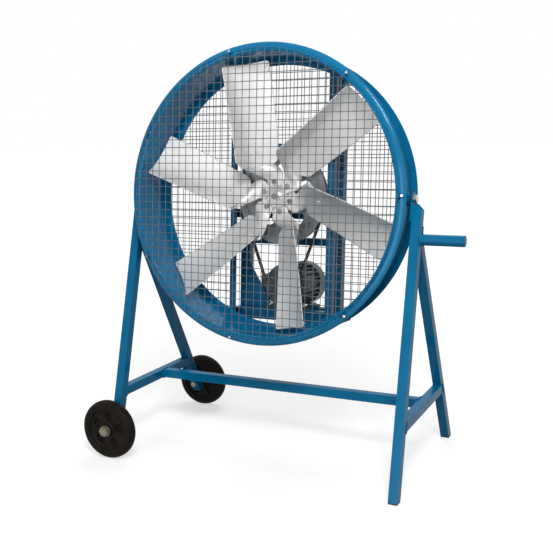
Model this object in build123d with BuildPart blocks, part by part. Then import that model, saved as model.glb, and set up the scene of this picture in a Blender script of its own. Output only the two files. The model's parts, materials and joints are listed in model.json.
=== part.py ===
from build123d import *
import os
from math import asin, atan2, cos, degrees, hypot, radians, sin, sqrt, tan

# Belt-driven drum fan that tilts between the two A-frames of a two-wheeled stand.
# Millimetres, +Z up, +X to the handle side, -Y to the front, where the air comes out.
# Every piece is drawn about the tilt axis, over X = Y = 0, and saved with the origin on the
# floor in the middle of the whole fan's outline.

# ---------------------------------------------------------------- driving dimensions
pivot_height = 875.0
rest_tilt = 4.8
slip = 0.05
gap = 0.3

# stand
tube = 30.0
tube_wall = 2.0
front_foot_reach = 235.0
rear_foot_reach = 377.0
legs_meet_height = 772.0
leg_top_drop = 17.0
leg_top_chamfer = 18.0
brace_height = 210.0
cross_tube_shift = 82.0
foot_cap_height = 4.0
handle_drop = 120.0
handle_diameter = 34.0
handle_wall = 2.5
handle_length = 130.0
handle_cap_length = 5.0

# wheels
wheel_diameter = 200.0
tyre_width = 42.0
rim_diameter = 138.0
rim_width = 30.0
rim_flange = 12.0
wheel_hub_diameter = 42.0
wheel_hub_length = 46.0
wheel_leg_clearance = 2.0
wheel_window_count = 5
wheel_window_diameter = 26.0
axle_diameter = 20.0
axle_collar_diameter = 28.0
axle_stub = 10.0
axle_nut_across_flats = 30.0
axle_nut_length = 10.0
axle_washer_diameter = 37.0
axle_washer_thickness = 3.0
axle_play = 0.3

# drum
shell_inner_radius = 450.0
shell_wall = 3.0
drum_depth = 165.0
front_flange_width = 27.0
rear_flange_width = 17.0
inlet_lip_width = 20.0
pivot_boss_diameter = 44.0
pivot_boss_length = 20.0
pivot_bolt_diameter = 16.0
pivot_head_across_flats = 24.0
pivot_head_length = 10.0
pivot_bolt_grip = 12.0
friction_washer_diameter = 50.0
friction_washer_thickness = 3.0
lug_thickness = 6.0
lug_radius = 20.0
lug_length = 70.0

# guards
wire = 2.5
wire_pitch = 25.4
rim_wire = 5.0
front_guard_overlap = 10.0
front_guard_standoff = 24.0
clip_count = 7
clip_first_angle = 1.0
clip_width = 16.0
clip_thickness = 2.5
clip_bolt_diameter = 8.0
clip_bolt_head_length = 5.0
rear_guard_overlap = 12.0
rear_band_width = 26.0
rear_band_thickness = 3.0

# rear box frame
angle_size = 25.0
angle_wall = 4.0
upright_spread = 165.0
upright_top_inset = 32.0
rear_tube = 30.0
rear_tube_width = 35.0
rear_tube_inset = 10.0
frame_depth = 112.5
top_rail_height = 150.0
cross_rail_drop = 140.0
cross_rail_height = 25.0
motor_rail = 40.0
gusset_height = 156.0
gusset_width = 95.0
gusset_thickness = 5.0

# shaft, bearings and impeller
shaft_diameter = 30.0
shaft_stub_diameter = 20.0
shaft_tail = 8.0
shaft_nut_across_flats = 30.0
shaft_nut_length = 16.0
shaft_washer_diameter = 76.0
shaft_washer_thickness = 6.0
block_centre_height = 45.0
block_length = 140.0
block_width = 34.0
block_base_height = 14.0
block_body_radius = 40.0
block_bolt_spacing = 108.0
block_bolt_diameter = 10.0
block_bolt_head_length = 7.0
bearing_diameter = 62.0
bearing_lip = 3.0
bearing_running_gap = 2.0
hub_setback = 80.0
hub_plate_radius = 60.0
hub_plate_thickness = 8.0
hub_boss_radius = 30.0
hub_boss_length = 14.0
blade_count = 6
blade_plane = 20.0
blade_angle = 101.7
blade_pitch = 27.6
blade_chord = 155.0
blade_root_chord = 120.0
blade_root_radius = 105.0
blade_shoulder_radius = 126.0
blade_tip_clearance = 16.0
blade_tip_corner = 8.0
blade_thickness = 2.5
blade_camber = 11.0
arm_thickness = 6.0
arm_pad_start = 30.0
arm_pad_width = 32.0
arm_bend_radius = 60.0
arm_bend_width = 60.0
arm_twist_end = 120.0
arm_wing_width = 124.0
arm_end_radius = 180.0
arm_tongue_width = 60.0
pad_bolt_diameter = 11.0
pad_bolt_head_length = 7.0
pad_bolt_radius = 50.0
blade_bolt_diameter = 8.0
blade_bolt_head_length = 5.0
blade_bolt_radius = 158.0

# drive
belt_plane = -100.0
belt_top_width = 13.0
belt_thickness = 8.0
belt_side_angle = 20.0
sheave_pitch_radius = 155.0
pulley_pitch_radius = 48.0
groove_lip = 5.0
groove_floor = 3.0
sheave_width = 22.0
sheave_rim_depth = 22.0
sheave_web = 7.0
sheave_hub_radius = 32.0
sheave_hub_length = 36.0
sheave_window_count = 5
sheave_window_radius = 27.0
pulley_width = 24.0

# motor
motor_centre_drop = 306.0
motor_centre_height = 80.0
motor_front = -138.0
motor_body_length = 128.0
motor_core_radius = 68.0
motor_fin_height = 10.0
motor_fin_thickness = 3.0
motor_fin_count = 26
motor_foot_spread = 125.0
motor_foot_spacing = 100.0
motor_foot_width = 28.0
motor_foot_length = 26.0
motor_foot_thickness = 10.0
motor_foot_web = 12.0
motor_bolt_diameter = 8.0
motor_bolt_head_length = 6.0
shield_thickness = 10.0
shield_boss_radius = 30.0
shield_boss_length = 8.0
cowl_length = 46.0
cowl_wall = 2.0
cowl_slot_count = 12
motor_shaft_diameter = 19.0
motor_shaft_length = 44.0
box_length = 70.0
box_height = 66.0
box_depth = 34.0
box_gap = 4.0
gland_diameter = 22.0
gland_length = 18.0

# ---------------------------------------------------------------- derived places
front_face = drum_depth / 2
rear_face = -drum_depth / 2
shell_outer_radius = shell_inner_radius + shell_wall
front_flange_radius = shell_outer_radius + front_flange_width
rear_flange_radius = shell_outer_radius + rear_flange_width
front_guard_radius = shell_inner_radius + front_guard_overlap
rear_guard_radius = shell_inner_radius + rear_guard_overlap
washer_inner_face = shell_outer_radius + pivot_boss_length
lug_inner_face = washer_inner_face + friction_washer_thickness
leg_inner_face = lug_inner_face + lug_thickness
stand_half_width = leg_inner_face + tube / 2
front_slope = front_foot_reach / pivot_height
meet_point = -front_foot_reach + front_slope * legs_meet_height
rear_slope = (rear_foot_reach - meet_point) / legs_meet_height
handle_height = pivot_height - handle_drop
wheel_radius = wheel_diameter / 2
upright_outer = upright_spread + angle_size
upright_top = shell_inner_radius - upright_top_inset
rear_tube_inner = upright_spread - rear_tube_inset
rear_tube_outer = rear_tube_inner + rear_tube_width
angle_back = rear_face - angle_size
rear_tube_back = rear_face - frame_depth
rear_tube_front = rear_tube_back + rear_tube
beam_top = -block_centre_height
front_block_plane = belt_plane - sheave_hub_length / 2 - bearing_running_gap - bearing_lip - block_width / 2
rear_block_plane = rear_tube_back - rear_tube / 2
hub_face = blade_plane - hub_setback
hub_front = hub_face + arm_thickness
blade_tip_radius = shell_inner_radius - blade_tip_clearance
motor_base = -motor_centre_drop - motor_centre_height
frame_bottom = motor_rail - motor_base
motor_back = motor_front - motor_body_length
front_foot_plane = motor_front - (motor_body_length - motor_foot_spacing) / 2
rear_foot_plane = front_foot_plane - motor_foot_spacing
motor_outer_radius = hypot(motor_core_radius + motor_fin_height, motor_fin_thickness / 2)

# Fan frame: x to the right seen from the front, y up the drum, z forward along the fan's axis.
lean = radians(rest_tilt)
fan_plane = Plane(origin=(0, 0, pivot_height), x_dir=(1, 0, 0), z_dir=(0, -cos(lean), sin(lean)))
fan_forward = fan_plane.z_dir
fan_right = fan_plane.x_dir
fan_up = fan_plane.y_dir


# ---------------------------------------------------------------- wheel places
def front_leg_place(level):
    """Y of the front legs' axis at a height."""
    return -front_foot_reach + front_slope * level


def rear_leg_place(level):
    """Y of the rear legs' axis at a height."""
    return rear_foot_reach - rear_slope * level


def wheel_offset(slope):
    """Distance from a leg's axis to its wheel's middle, so that the hub clears the slanted leg."""
    leg_half = tube / 2 * sqrt(1 + slope * slope)
    return leg_half + wheel_hub_diameter / 2 * slope + wheel_leg_clearance + axle_play + wheel_hub_length / 2


axle_end = wheel_hub_length / 2 + axle_play + axle_washer_thickness + axle_nut_length + 2
front_wheel_y = front_leg_place(wheel_radius) - wheel_offset(front_slope)
rear_wheel_y = rear_leg_place(wheel_radius) + wheel_offset(rear_slope)
outline_right = stand_half_width + tube / 2 + handle_length + handle_cap_length
outline_left = -stand_half_width - wheel_radius
outline_front = front_wheel_y - axle_end
outline_rear = rear_wheel_y + axle_end
middle_x = (outline_right + outline_left) / 2
middle_y = (outline_front + outline_rear) / 2
outline_shift = Location((-middle_x, -middle_y, 0))


# ---------------------------------------------------------------- helpers
def fan_point(x, y, depth):
    """World place of a point given in the fan frame."""
    return fan_plane.from_local_coords(Vector(x, y, depth))


def save(part, name):
    """Place one finished sub-part about the outline's middle, label it and write its STEP file."""
    placed = Compound(children=[solid.moved(outline_shift) for solid in part.solids()])
    placed.label = name
    export_step(placed, f"parts/{name}.step")


def square_tube(start, end, across, width, height, wall):
    """Rectangular tube from start to end, its width measured along the across direction."""
    run = end - start
    with BuildPart() as piece:
        with BuildSketch(Plane(origin=start, x_dir=across, z_dir=run)):
            Rectangle(width, height)
            Rectangle(width - 2 * wall, height - 2 * wall, mode=Mode.SUBTRACT)
        extrude(amount=run.length)
    return piece.part


def fan_block(x_low, x_high, y_low, y_high, depth_back, depth_front):
    """Plain bar between two limits in each direction of the fan frame."""
    with BuildPart() as piece:
        with BuildSketch(fan_plane.offset(depth_back)):
            with Locations(((x_low + x_high) / 2, (y_low + y_high) / 2)):
                Rectangle(x_high - x_low, y_high - y_low)
        extrude(amount=depth_front - depth_back)
    return piece.part


def hexagon_radius(across_flats):
    """Corner radius of a hexagon head or nut."""
    return across_flats / sqrt(3)


def hex_bolt(plane, head_across_flats, head_length, shank_diameter, shank_length):
    """Bolt whose head sits on the plane's front and whose shank goes in behind it."""
    with BuildPart() as piece:
        with BuildSketch(plane):
            RegularPolygon(hexagon_radius(head_across_flats), 6)
        extrude(amount=head_length)
        with BuildSketch(plane):
            Circle(shank_diameter / 2)
        extrude(amount=-shank_length)
    return piece.part


def group(pieces):
    """Identical separate solids that share one node."""
    return Compound(children=list(pieces))


os.makedirs("parts", exist_ok=True)


# ================================================================ stand
def leg_direction(slope):
    """Unit vector up a leg that leans by the slope, in Y per unit of height."""
    return Vector(0, slope, 1).normalized()


def front_leg(side, foot_level):
    """Front leg: from its foot straight up to the tilt axis, with a chamfered top end."""
    axis = leg_direction(front_slope)
    low = Vector(side * stand_half_width, -front_foot_reach, 0) - axis * tube
    high = Vector(side * stand_half_width, 0, pivot_height)
    top_level = pivot_height - leg_top_drop
    outer_x = side * (stand_half_width + tube / 2)
    with BuildPart() as piece:
        with BuildSketch(Plane(origin=low, x_dir=(1, 0, 0), z_dir=axis)):
            Rectangle(tube, tube)
            Rectangle(tube - 2 * tube_wall, tube - 2 * tube_wall, mode=Mode.SUBTRACT)
        extrude(amount=(high - low).length + tube)
        split(bisect_by=Plane.XY.offset(foot_level), keep=Keep.TOP)
        split(bisect_by=Plane.XY.offset(top_level), keep=Keep.BOTTOM)
        corner = Plane(origin=(outer_x, 0, top_level - leg_top_chamfer), x_dir=(0, 1, 0), z_dir=(side, 0, 1))
        split(bisect_by=corner, keep=Keep.BOTTOM)
        cap_level = top_level - leg_top_chamfer - tube_wall
        with BuildSketch(Plane(origin=low + axis * ((cap_level - low.Z) / axis.Z), x_dir=(1, 0, 0), z_dir=axis)):
            Rectangle(tube - 2 * tube_wall, tube - 2 * tube_wall)
        extrude(amount=-tube_wall)
        if side < 0:
            with BuildSketch(Plane.XZ):
                with Locations((side * stand_half_width, wheel_radius)):
                    Circle(axle_diameter / 2)
            extrude(amount=front_foot_reach + tube, both=True, mode=Mode.SUBTRACT)
    return piece.part


def rear_leg(side, foot_level):
    """Rear leg: from its foot up to the back face of the front leg, where it is welded on."""
    axis = leg_direction(-rear_slope)
    low = Vector(side * stand_half_width, rear_foot_reach, 0) - axis * tube
    high = Vector(side * stand_half_width, meet_point, legs_meet_height)
    front_axis = leg_direction(front_slope)
    face_normal = Vector(0, front_axis.Z, -front_axis.Y)
    leg_back = Plane(origin=high + face_normal * (tube / 2), x_dir=(1, 0, 0), z_dir=face_normal)
    with BuildPart() as piece:
        with BuildSketch(Plane(origin=low, x_dir=(1, 0, 0), z_dir=axis)):
            Rectangle(tube, tube)
            Rectangle(tube - 2 * tube_wall, tube - 2 * tube_wall, mode=Mode.SUBTRACT)
        extrude(amount=(high - low).length)
        split(bisect_by=Plane.XY.offset(foot_level), keep=Keep.TOP)
        split(bisect_by=leg_back, keep=Keep.TOP)
        if side < 0:
            with BuildSketch(Plane.XZ):
                with Locations((side * stand_half_width, wheel_radius)):
                    Circle(axle_diameter / 2)
            extrude(amount=rear_foot_reach + tube, both=True, mode=Mode.SUBTRACT)
    return piece.part


axle_leg_end = wheel_radius - tube
save(front_leg(1, foot_cap_height), "front_leg_right")
save(front_leg(-1, axle_leg_end), "front_leg_left")
save(rear_leg(1, foot_cap_height), "rear_leg_right")
save(rear_leg(-1, axle_leg_end), "rear_leg_left")


def foot_cap(reach, slope):
    """Plastic cap that closes a right leg's open end and stands on the floor."""
    across = tube * sqrt(1 + slope * slope)
    with BuildPart() as piece:
        with BuildSketch(Plane.XY):
            with Locations((stand_half_width, reach)):
                RectangleRounded(tube, across, 2)
        extrude(amount=foot_cap_height)
    return piece.part


save(group([foot_cap(front_leg_place(foot_cap_height), front_slope),
            foot_cap(rear_leg_place(foot_cap_height), rear_slope)]), "foot_caps")


def brace(side):
    """Level tube between the two legs of one A-frame, mitred to both."""
    front_axis = leg_direction(front_slope)
    rear_axis = leg_direction(-rear_slope)
    front_normal = Vector(0, front_axis.Z, -front_axis.Y)
    rear_normal = Vector(0, rear_axis.Z, -rear_axis.Y)
    front_centre = Vector(side * stand_half_width, front_leg_place(brace_height), brace_height)
    rear_centre = Vector(side * stand_half_width, rear_leg_place(brace_height), brace_height)
    with BuildPart() as piece:
        with BuildSketch(Plane(origin=front_centre, x_dir=(1, 0, 0), z_dir=(0, 1, 0))):
            Rectangle(tube, tube)
            Rectangle(tube - 2 * tube_wall, tube - 2 * tube_wall, mode=Mode.SUBTRACT)
        extrude(amount=(rear_centre - front_centre).length)
        split(bisect_by=Plane(origin=front_centre + front_normal * (tube / 2), x_dir=(1, 0, 0),
                              z_dir=front_normal), keep=Keep.TOP)
        split(bisect_by=Plane(origin=rear_centre - rear_normal * (tube / 2), x_dir=(1, 0, 0),
                              z_dir=rear_normal), keep=Keep.BOTTOM)
    return piece.part


save(group([brace(1), brace(-1)]), "braces")
save(square_tube(Vector(-leg_inner_face, cross_tube_shift, brace_height),
                 Vector(leg_inner_face, cross_tube_shift, brace_height),
                 Vector(0, 1, 0), tube, tube, tube_wall), "cross_tube")


def pivot_lug(side):
    """Flat lug on a front leg's inner face, with the hole that the drum's pivot bolt turns in."""
    with BuildPart() as piece:
        with BuildSketch(Plane(origin=(side * lug_inner_face, 0, pivot_height), x_dir=(0, 1, 0),
                               z_dir=(1, 0, 0))):
            Circle(lug_radius)
            with Locations(Location((0, 0), -degrees(atan2(front_slope, 1)))):
                with Locations((0, -lug_length / 2)):
                    Rectangle(tube, lug_length)
            Circle(pivot_bolt_diameter / 2 + slip, mode=Mode.SUBTRACT)
        extrude(amount=side * lug_thickness)
    return piece.part


save(group([pivot_lug(1), pivot_lug(-1)]), "pivot_lugs")

# Round handle tube that sticks out of the right front leg, with a plug in its end.
handle_root = Vector(stand_half_width + tube / 2, front_leg_place(handle_height), handle_height)
with BuildPart() as handle:
    with BuildSketch(Plane(origin=handle_root, x_dir=(0, 1, 0), z_dir=(1, 0, 0))):
        Circle(handle_diameter / 2)
        Circle(handle_diameter / 2 - handle_wall, mode=Mode.SUBTRACT)
    extrude(amount=handle_length)
save(handle.part, "handle")

with BuildPart() as handle_cap:
    with BuildSketch(Plane(origin=handle_root + Vector(handle_length, 0, 0), x_dir=(0, 1, 0),
                           z_dir=(1, 0, 0))):
        Circle(handle_diameter / 2)
    extrude(amount=handle_cap_length)
    fillet(handle_cap.faces().sort_by(Axis.X)[-1].edges(), radius=handle_cap_length / 2)
    with BuildSketch(Plane(origin=handle_root + Vector(handle_length, 0, 0), x_dir=(0, 1, 0),
                           z_dir=(1, 0, 0))):
        Circle(handle_diameter / 2 - handle_wall)
    extrude(amount=-3 * handle_cap_length)
save(handle_cap.part, "handle_cap")


# ================================================================ wheels
wheel_places = {
    "front": (-1, front_leg_place(wheel_radius), front_wheel_y, front_slope),
    "rear": (1, rear_leg_place(wheel_radius), rear_wheel_y, -rear_slope),
}


def wheel_plane(name):
    """Plane across a wheel's middle, facing away from its leg."""
    outward, leg_place, wheel_y, slope = wheel_places[name]
    return Plane(origin=(-stand_half_width, wheel_y, wheel_radius), x_dir=(1, 0, 0), z_dir=(0, outward, 0))


def wheel_axle(name):
    """Axle welded through a left leg, with a collar that keeps the wheel off the leg."""
    outward, leg_place, wheel_y, slope = wheel_places[name]
    middle = wheel_plane(name)
    leg_depth = -abs(wheel_y - leg_place)
    inner_end = leg_depth - tube / 2 * sqrt(1 + slope * slope) - axle_stub
    collar_end = -wheel_hub_length / 2 - axle_play
    leg_axis = leg_direction(slope)
    leg_face = Plane(origin=(-stand_half_width, leg_place, wheel_radius),
                     x_dir=(1, 0, 0), z_dir=Vector(0, outward * leg_axis.Z, -outward * leg_axis.Y))
    with BuildPart() as axle:
        with BuildSketch(middle.offset(collar_end)):
            Circle(axle_collar_diameter / 2)
        extrude(amount=leg_depth - collar_end)
        split(bisect_by=leg_face.offset(tube / 2), keep=Keep.TOP)
        with BuildSketch(middle.offset(inner_end)):
            Circle(axle_diameter / 2)
        extrude(amount=axle_end - inner_end)
    return axle.part


def wheel_rim(name):
    """Moulded rim: hub, dished web with round openings, and the bed that the tyre sits on."""
    middle = wheel_plane(name)
    hub_radius = wheel_hub_diameter / 2
    bed_radius = rim_diameter / 2
    web_ring = (hub_radius + bed_radius) / 2
    with BuildPart() as piece:
        with BuildSketch(middle.offset(-rim_width / 2)):
            Circle(bed_radius)
            Circle(bed_radius - rim_flange / 2, mode=Mode.SUBTRACT)
        extrude(amount=rim_width)
        with BuildSketch(middle.offset(-rim_flange / 2)):
            Circle(bed_radius)
            with PolarLocations(web_ring, wheel_window_count, start_angle=90):
                Circle(wheel_window_diameter / 2, mode=Mode.SUBTRACT)
        extrude(amount=rim_flange)
        with BuildSketch(middle.offset(-wheel_hub_length / 2)):
            Circle(hub_radius)
        extrude(amount=wheel_hub_length)
        with BuildSketch(middle.offset(-wheel_hub_length / 2)):
            Circle(axle_diameter / 2 + slip)
        extrude(amount=wheel_hub_length, mode=Mode.SUBTRACT)
    return piece.part


def wheel_tyre(name):
    """Solid rubber tyre with a rounded tread, pressed on the rim."""
    middle = wheel_plane(name)
    bed_radius = rim_diameter / 2
    shoulder = tyre_width / 4
    section = Plane(origin=middle.origin, x_dir=(1, 0, 0), z_dir=middle.z_dir.cross(Vector(1, 0, 0)))
    with BuildPart() as piece:
        with BuildSketch(section):
            with BuildLine():
                Polyline((bed_radius, -tyre_width / 2), (wheel_radius - shoulder, -tyre_width / 2))
                ThreePointArc((wheel_radius - shoulder, -tyre_width / 2),
                              (wheel_radius, 0), (wheel_radius - shoulder, tyre_width / 2))
                Polyline((wheel_radius - shoulder, tyre_width / 2), (bed_radius, tyre_width / 2),
                         (bed_radius, -tyre_width / 2))
            make_face()
        revolve(axis=Axis(middle.origin, middle.z_dir))
    return piece.part


def axle_washer(name):
    """Steel washer between a wheel's hub and its nut."""
    level = wheel_hub_length / 2 + axle_play
    with BuildPart() as piece:
        with BuildSketch(wheel_plane(name).offset(level)):
            Circle(axle_washer_diameter / 2)
            Circle(axle_diameter / 2, mode=Mode.SUBTRACT)
        extrude(amount=axle_washer_thickness)
    return piece.part


def axle_nut(name):
    """Hexagon nut on the end of a wheel axle."""
    level = wheel_hub_length / 2 + axle_play + axle_washer_thickness
    with BuildPart() as piece:
        with BuildSketch(wheel_plane(name).offset(level)):
            RegularPolygon(hexagon_radius(axle_nut_across_flats), 6)
            Circle(axle_diameter / 2, mode=Mode.SUBTRACT)
        extrude(amount=axle_nut_length)
    return piece.part


save(group([wheel_axle("front"), wheel_axle("rear")]), "wheel_axles")
save(group([axle_washer("front"), axle_washer("rear"), axle_nut("front"), axle_nut("rear")]),
     "axle_nuts_and_washers")
for wheel in ("front", "rear"):
    save(wheel_rim(wheel), f"{wheel}_wheel_rim")
    save(wheel_tyre(wheel), f"{wheel}_wheel_tyre")


# ================================================================ drum shell
# Rolled shell with a wide flange in front, which carries the guard.
with BuildPart() as drum_shell:
    with BuildSketch(fan_plane.offset(rear_face + shell_wall)):
        Circle(shell_outer_radius)
        Circle(shell_inner_radius, mode=Mode.SUBTRACT)
    extrude(amount=drum_depth - shell_wall)
    with BuildSketch(fan_plane.offset(front_face)):
        Circle(front_flange_radius)
        Circle(shell_inner_radius, mode=Mode.SUBTRACT)
    extrude(amount=-shell_wall)
save(drum_shell.part, "drum_shell")

# Flat ring welded on the shell's back end: a narrow flange outside, and a lip round the air inlet.
with BuildPart() as inlet_ring:
    with BuildSketch(fan_plane.offset(rear_face)):
        Circle(rear_flange_radius)
        Circle(shell_inner_radius - inlet_lip_width, mode=Mode.SUBTRACT)
    extrude(amount=shell_wall)
save(inlet_ring.part, "inlet_ring")


def pivot_boss(side):
    """Round boss welded on the shell, which the pivot bolt screws into."""
    with BuildPart() as piece:
        with BuildSketch(Plane(origin=(side * washer_inner_face, 0, pivot_height), x_dir=(0, 1, 0),
                               z_dir=(-side, 0, 0))):
            Circle(pivot_boss_diameter / 2)
            Circle(pivot_bolt_diameter / 2, mode=Mode.SUBTRACT)
        extrude(amount=washer_inner_face - shell_inner_radius)
        with BuildSketch(fan_plane):
            Circle(shell_outer_radius)
        extrude(amount=pivot_boss_diameter, both=True, mode=Mode.SUBTRACT)
    return piece.part


def friction_washer(side):
    """Washer squeezed between a boss and its lug, which holds the drum at its angle."""
    with BuildPart() as piece:
        with BuildSketch(Plane(origin=(side * washer_inner_face, 0, pivot_height), x_dir=(0, 1, 0),
                               z_dir=(side, 0, 0))):
            Circle(friction_washer_diameter / 2)
            Circle(pivot_bolt_diameter / 2, mode=Mode.SUBTRACT)
        extrude(amount=friction_washer_thickness)
    return piece.part


def pivot_bolt(side):
    """Pivot bolt: its head clamps the lug, its shank turns in the lug and screws into the boss."""
    shank = lug_thickness + friction_washer_thickness + pivot_bolt_grip
    plane = Plane(origin=(side * leg_inner_face, 0, pivot_height), x_dir=(0, 1, 0), z_dir=(side, 0, 0))
    return hex_bolt(plane, pivot_head_across_flats, pivot_head_length, pivot_bolt_diameter, shank)


save(group([pivot_boss(1), pivot_boss(-1)]), "pivot_bosses")
save(group([friction_washer(1), friction_washer(-1)]), "friction_washers")
save(group([pivot_bolt(1), pivot_bolt(-1)]), "pivot_bolts")


# ================================================================ guards
def mesh_lines(reach):
    """Offsets of the wires from the mesh's middle, one pitch apart."""
    count = int(reach // wire_pitch)
    return [index * wire_pitch for index in range(-count, count + 1)]


def chord(radius, offset):
    """Half the length of a chord at an offset from the middle of a circle."""
    return sqrt(radius * radius - offset * offset)


# Front guard: vertical wires in front of horizontal ones, all ending on a round rim wire.
guard_back = front_face + front_guard_standoff
guard_reach = front_guard_radius - rim_wire / 2
with BuildPart() as guard_rim:
    with BuildSketch(fan_plane.offset(guard_back - rim_wire)):
        Circle(front_guard_radius)
        Circle(front_guard_radius - rim_wire, mode=Mode.SUBTRACT)
    extrude(amount=rim_wire)
front_wires = [guard_rim.part]
for line in mesh_lines(guard_reach - 2 * wire):
    half = chord(guard_reach, abs(line) + wire)
    front_wires.append(fan_block(-half, half, line - wire / 2, line + wire / 2, guard_back, guard_back + wire))
    front_wires.append(fan_block(line - wire / 2, line + wire / 2, -half, half,
                                 guard_back + wire, guard_back + 2 * wire))
save(group(front_wires), "front_guard")


def guard_clip(angle):
    """Z-shaped clip from the front flange out to the guard's rim wire."""
    radial = (cos(radians(angle)), sin(radians(angle)))
    bolt_radius = (front_guard_radius + front_flange_radius) / 2
    rim_inner = front_guard_radius - rim_wire
    rim_back = front_guard_standoff - rim_wire
    base = fan_point(radial[0] * bolt_radius, radial[1] * bolt_radius, front_face)
    outward = fan_right * radial[0] + fan_up * radial[1]
    across = outward.cross(fan_forward)
    foot = (front_flange_radius - front_guard_radius) / 2 - 1
    step = rim_inner - bolt_radius
    with BuildPart() as piece:
        with BuildSketch(Plane(origin=base, x_dir=outward, z_dir=across)):
            with BuildLine():
                Polyline((foot, 0), (foot, clip_thickness), (-foot + clip_thickness, clip_thickness),
                         (-foot + clip_thickness, rim_back), (step, rim_back),
                         (step, rim_back - clip_thickness), (-foot, rim_back - clip_thickness),
                         (-foot, 0), (foot, 0))
            make_face()
        extrude(amount=clip_width / 2, both=True)
    return piece.part


def clip_bolt(angle):
    """Small hexagon bolt that holds a clip on the flange."""
    bolt_radius = (front_guard_radius + front_flange_radius) / 2 + clip_thickness / 2
    place = fan_point(bolt_radius * cos(radians(angle)), bolt_radius * sin(radians(angle)),
                      front_face + clip_thickness)
    with BuildPart() as piece:
        with BuildSketch(Plane(origin=place, x_dir=fan_right, z_dir=fan_forward)):
            RegularPolygon(clip_bolt_diameter * 0.75, 6)
        extrude(amount=clip_bolt_head_length)
    return piece.part


clip_angles = [clip_first_angle + index * 360 / clip_count for index in range(clip_count)]
save(group([guard_clip(angle) for angle in clip_angles]), "guard_clips")
save(group([clip_bolt(angle) for angle in clip_angles]), "guard_bolts")


# Rear guard: three mesh panels on the rear flange, left, right and above the drive's opening.
mesh_front = rear_face
panel_inner = upright_outer + wire
panel_floor = top_rail_height + angle_size + wire


def clipped_span(line, low, high):
    """Part of a wire's chord that lies between two limits, or None where too little is left."""
    half = chord(rear_guard_radius, abs(line) + wire / 2)
    start = max(low, -half)
    end = min(high, half)
    return (start, end) if end - start > wire_pitch / 2 else None


def rear_panel(x_low, x_high, y_low, y_high):
    """Mesh panel: the wires of the common grid that fall inside the limits."""
    wires = []
    for line in mesh_lines(rear_guard_radius - wire):
        across = clipped_span(line, x_low, x_high)
        if y_low < line - wire and line + wire < y_high and across:
            wires.append(fan_block(across[0], across[1], line - wire / 2, line + wire / 2,
                                   mesh_front - wire, mesh_front))
        along = clipped_span(line, y_low, y_high)
        if x_low < line - wire and line + wire < x_high and along:
            wires.append(fan_block(line - wire / 2, line + wire / 2, along[0], along[1],
                                   mesh_front - 2 * wire, mesh_front - wire))
    return wires


def rear_band(x_low, x_high, y_low, y_high):
    """Curved flat band that clamps a panel's outer ends on the rear flange."""
    band_front = mesh_front - 2 * wire
    with BuildPart() as piece:
        with BuildSketch(fan_plane.offset(band_front)):
            Circle(rear_guard_radius - wire)
            Circle(rear_guard_radius - wire - rear_band_width, mode=Mode.SUBTRACT)
            with Locations(((x_low + x_high) / 2, (y_low + y_high) / 2)):
                Rectangle(x_high - x_low, y_high - y_low, mode=Mode.INTERSECT)
        extrude(amount=-rear_band_thickness)
    return piece.part


side_limit = chord(rear_guard_radius, panel_inner)
save(group(rear_panel(-rear_guard_radius, -panel_inner, -rear_guard_radius, rear_guard_radius)
           + [rear_band(-rear_guard_radius, -panel_inner, -rear_guard_radius, rear_guard_radius)]),
     "rear_guard_left")
save(group(rear_panel(panel_inner, rear_guard_radius, -rear_guard_radius, rear_guard_radius)
           + [rear_band(panel_inner, rear_guard_radius, -rear_guard_radius, rear_guard_radius)]),
     "rear_guard_right")
panel_half = upright_spread - wire
save(group(rear_panel(-panel_half, panel_half, panel_floor, rear_guard_radius)
           + [rear_band(-panel_half, panel_half, panel_floor, rear_guard_radius)]),
     "rear_guard_top")


# ================================================================ rear box frame
def front_upright(side):
    """Steel angle up the drum's rear flange; its second leg points backwards at the outside."""
    inner = side * upright_spread
    outer = side * upright_outer
    web = side * (upright_outer - angle_wall)
    with BuildPart() as piece:
        with BuildSketch(Plane(origin=fan_point(0, -frame_bottom, 0), x_dir=fan_right, z_dir=fan_up)):
            with BuildLine():
                Polyline((inner, -rear_face), (outer, -rear_face), (outer, -angle_back),
                         (web, -angle_back), (web, -rear_face + angle_wall),
                         (inner, -rear_face + angle_wall), (inner, -rear_face))
            make_face()
        extrude(amount=upright_top + frame_bottom)
    return piece.part


def rear_upright(side):
    """Square tube behind the drive, from the bottom tie to the top."""
    x = side * (rear_tube_inner + rear_tube_outer) / 2
    depth = rear_tube_front - rear_tube / 2
    return square_tube(fan_point(x, motor_base, depth), fan_point(x, upright_top, depth),
                       fan_right, rear_tube_width, rear_tube, tube_wall)


def frame_tie(side, centre, height, depth_end):
    """Tube from a front upright's edge backwards, at a given level."""
    x = side * (upright_spread + upright_outer) / 2
    return square_tube(fan_point(x, centre, angle_back), fan_point(x, centre, depth_end),
                       fan_right, angle_size, height, tube_wall)


save(group([front_upright(-1), front_upright(1)]), "front_uprights")
save(group([rear_upright(-1), rear_upright(1)]), "rear_uprights")

bottom_tie_end = rear_foot_plane - motor_rail / 2
ties = []
for side in (-1, 1):
    ties.append(frame_tie(side, upright_top - rear_tube / 2, rear_tube, rear_tube_front))
    ties.append(frame_tie(side, beam_top - rear_tube / 2, rear_tube, rear_tube_front))
    ties.append(frame_tie(side, motor_base - motor_rail / 2, motor_rail, bottom_tie_end))
save(group(ties), "frame_ties")


def cross_tube_at(half_span, centre, depth_centre, height, depth):
    """Tube along X between the two sides of the frame."""
    return square_tube(fan_point(-half_span, centre, depth_centre),
                       fan_point(half_span, centre, depth_centre),
                       fan_up, height, depth, tube_wall)


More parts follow.
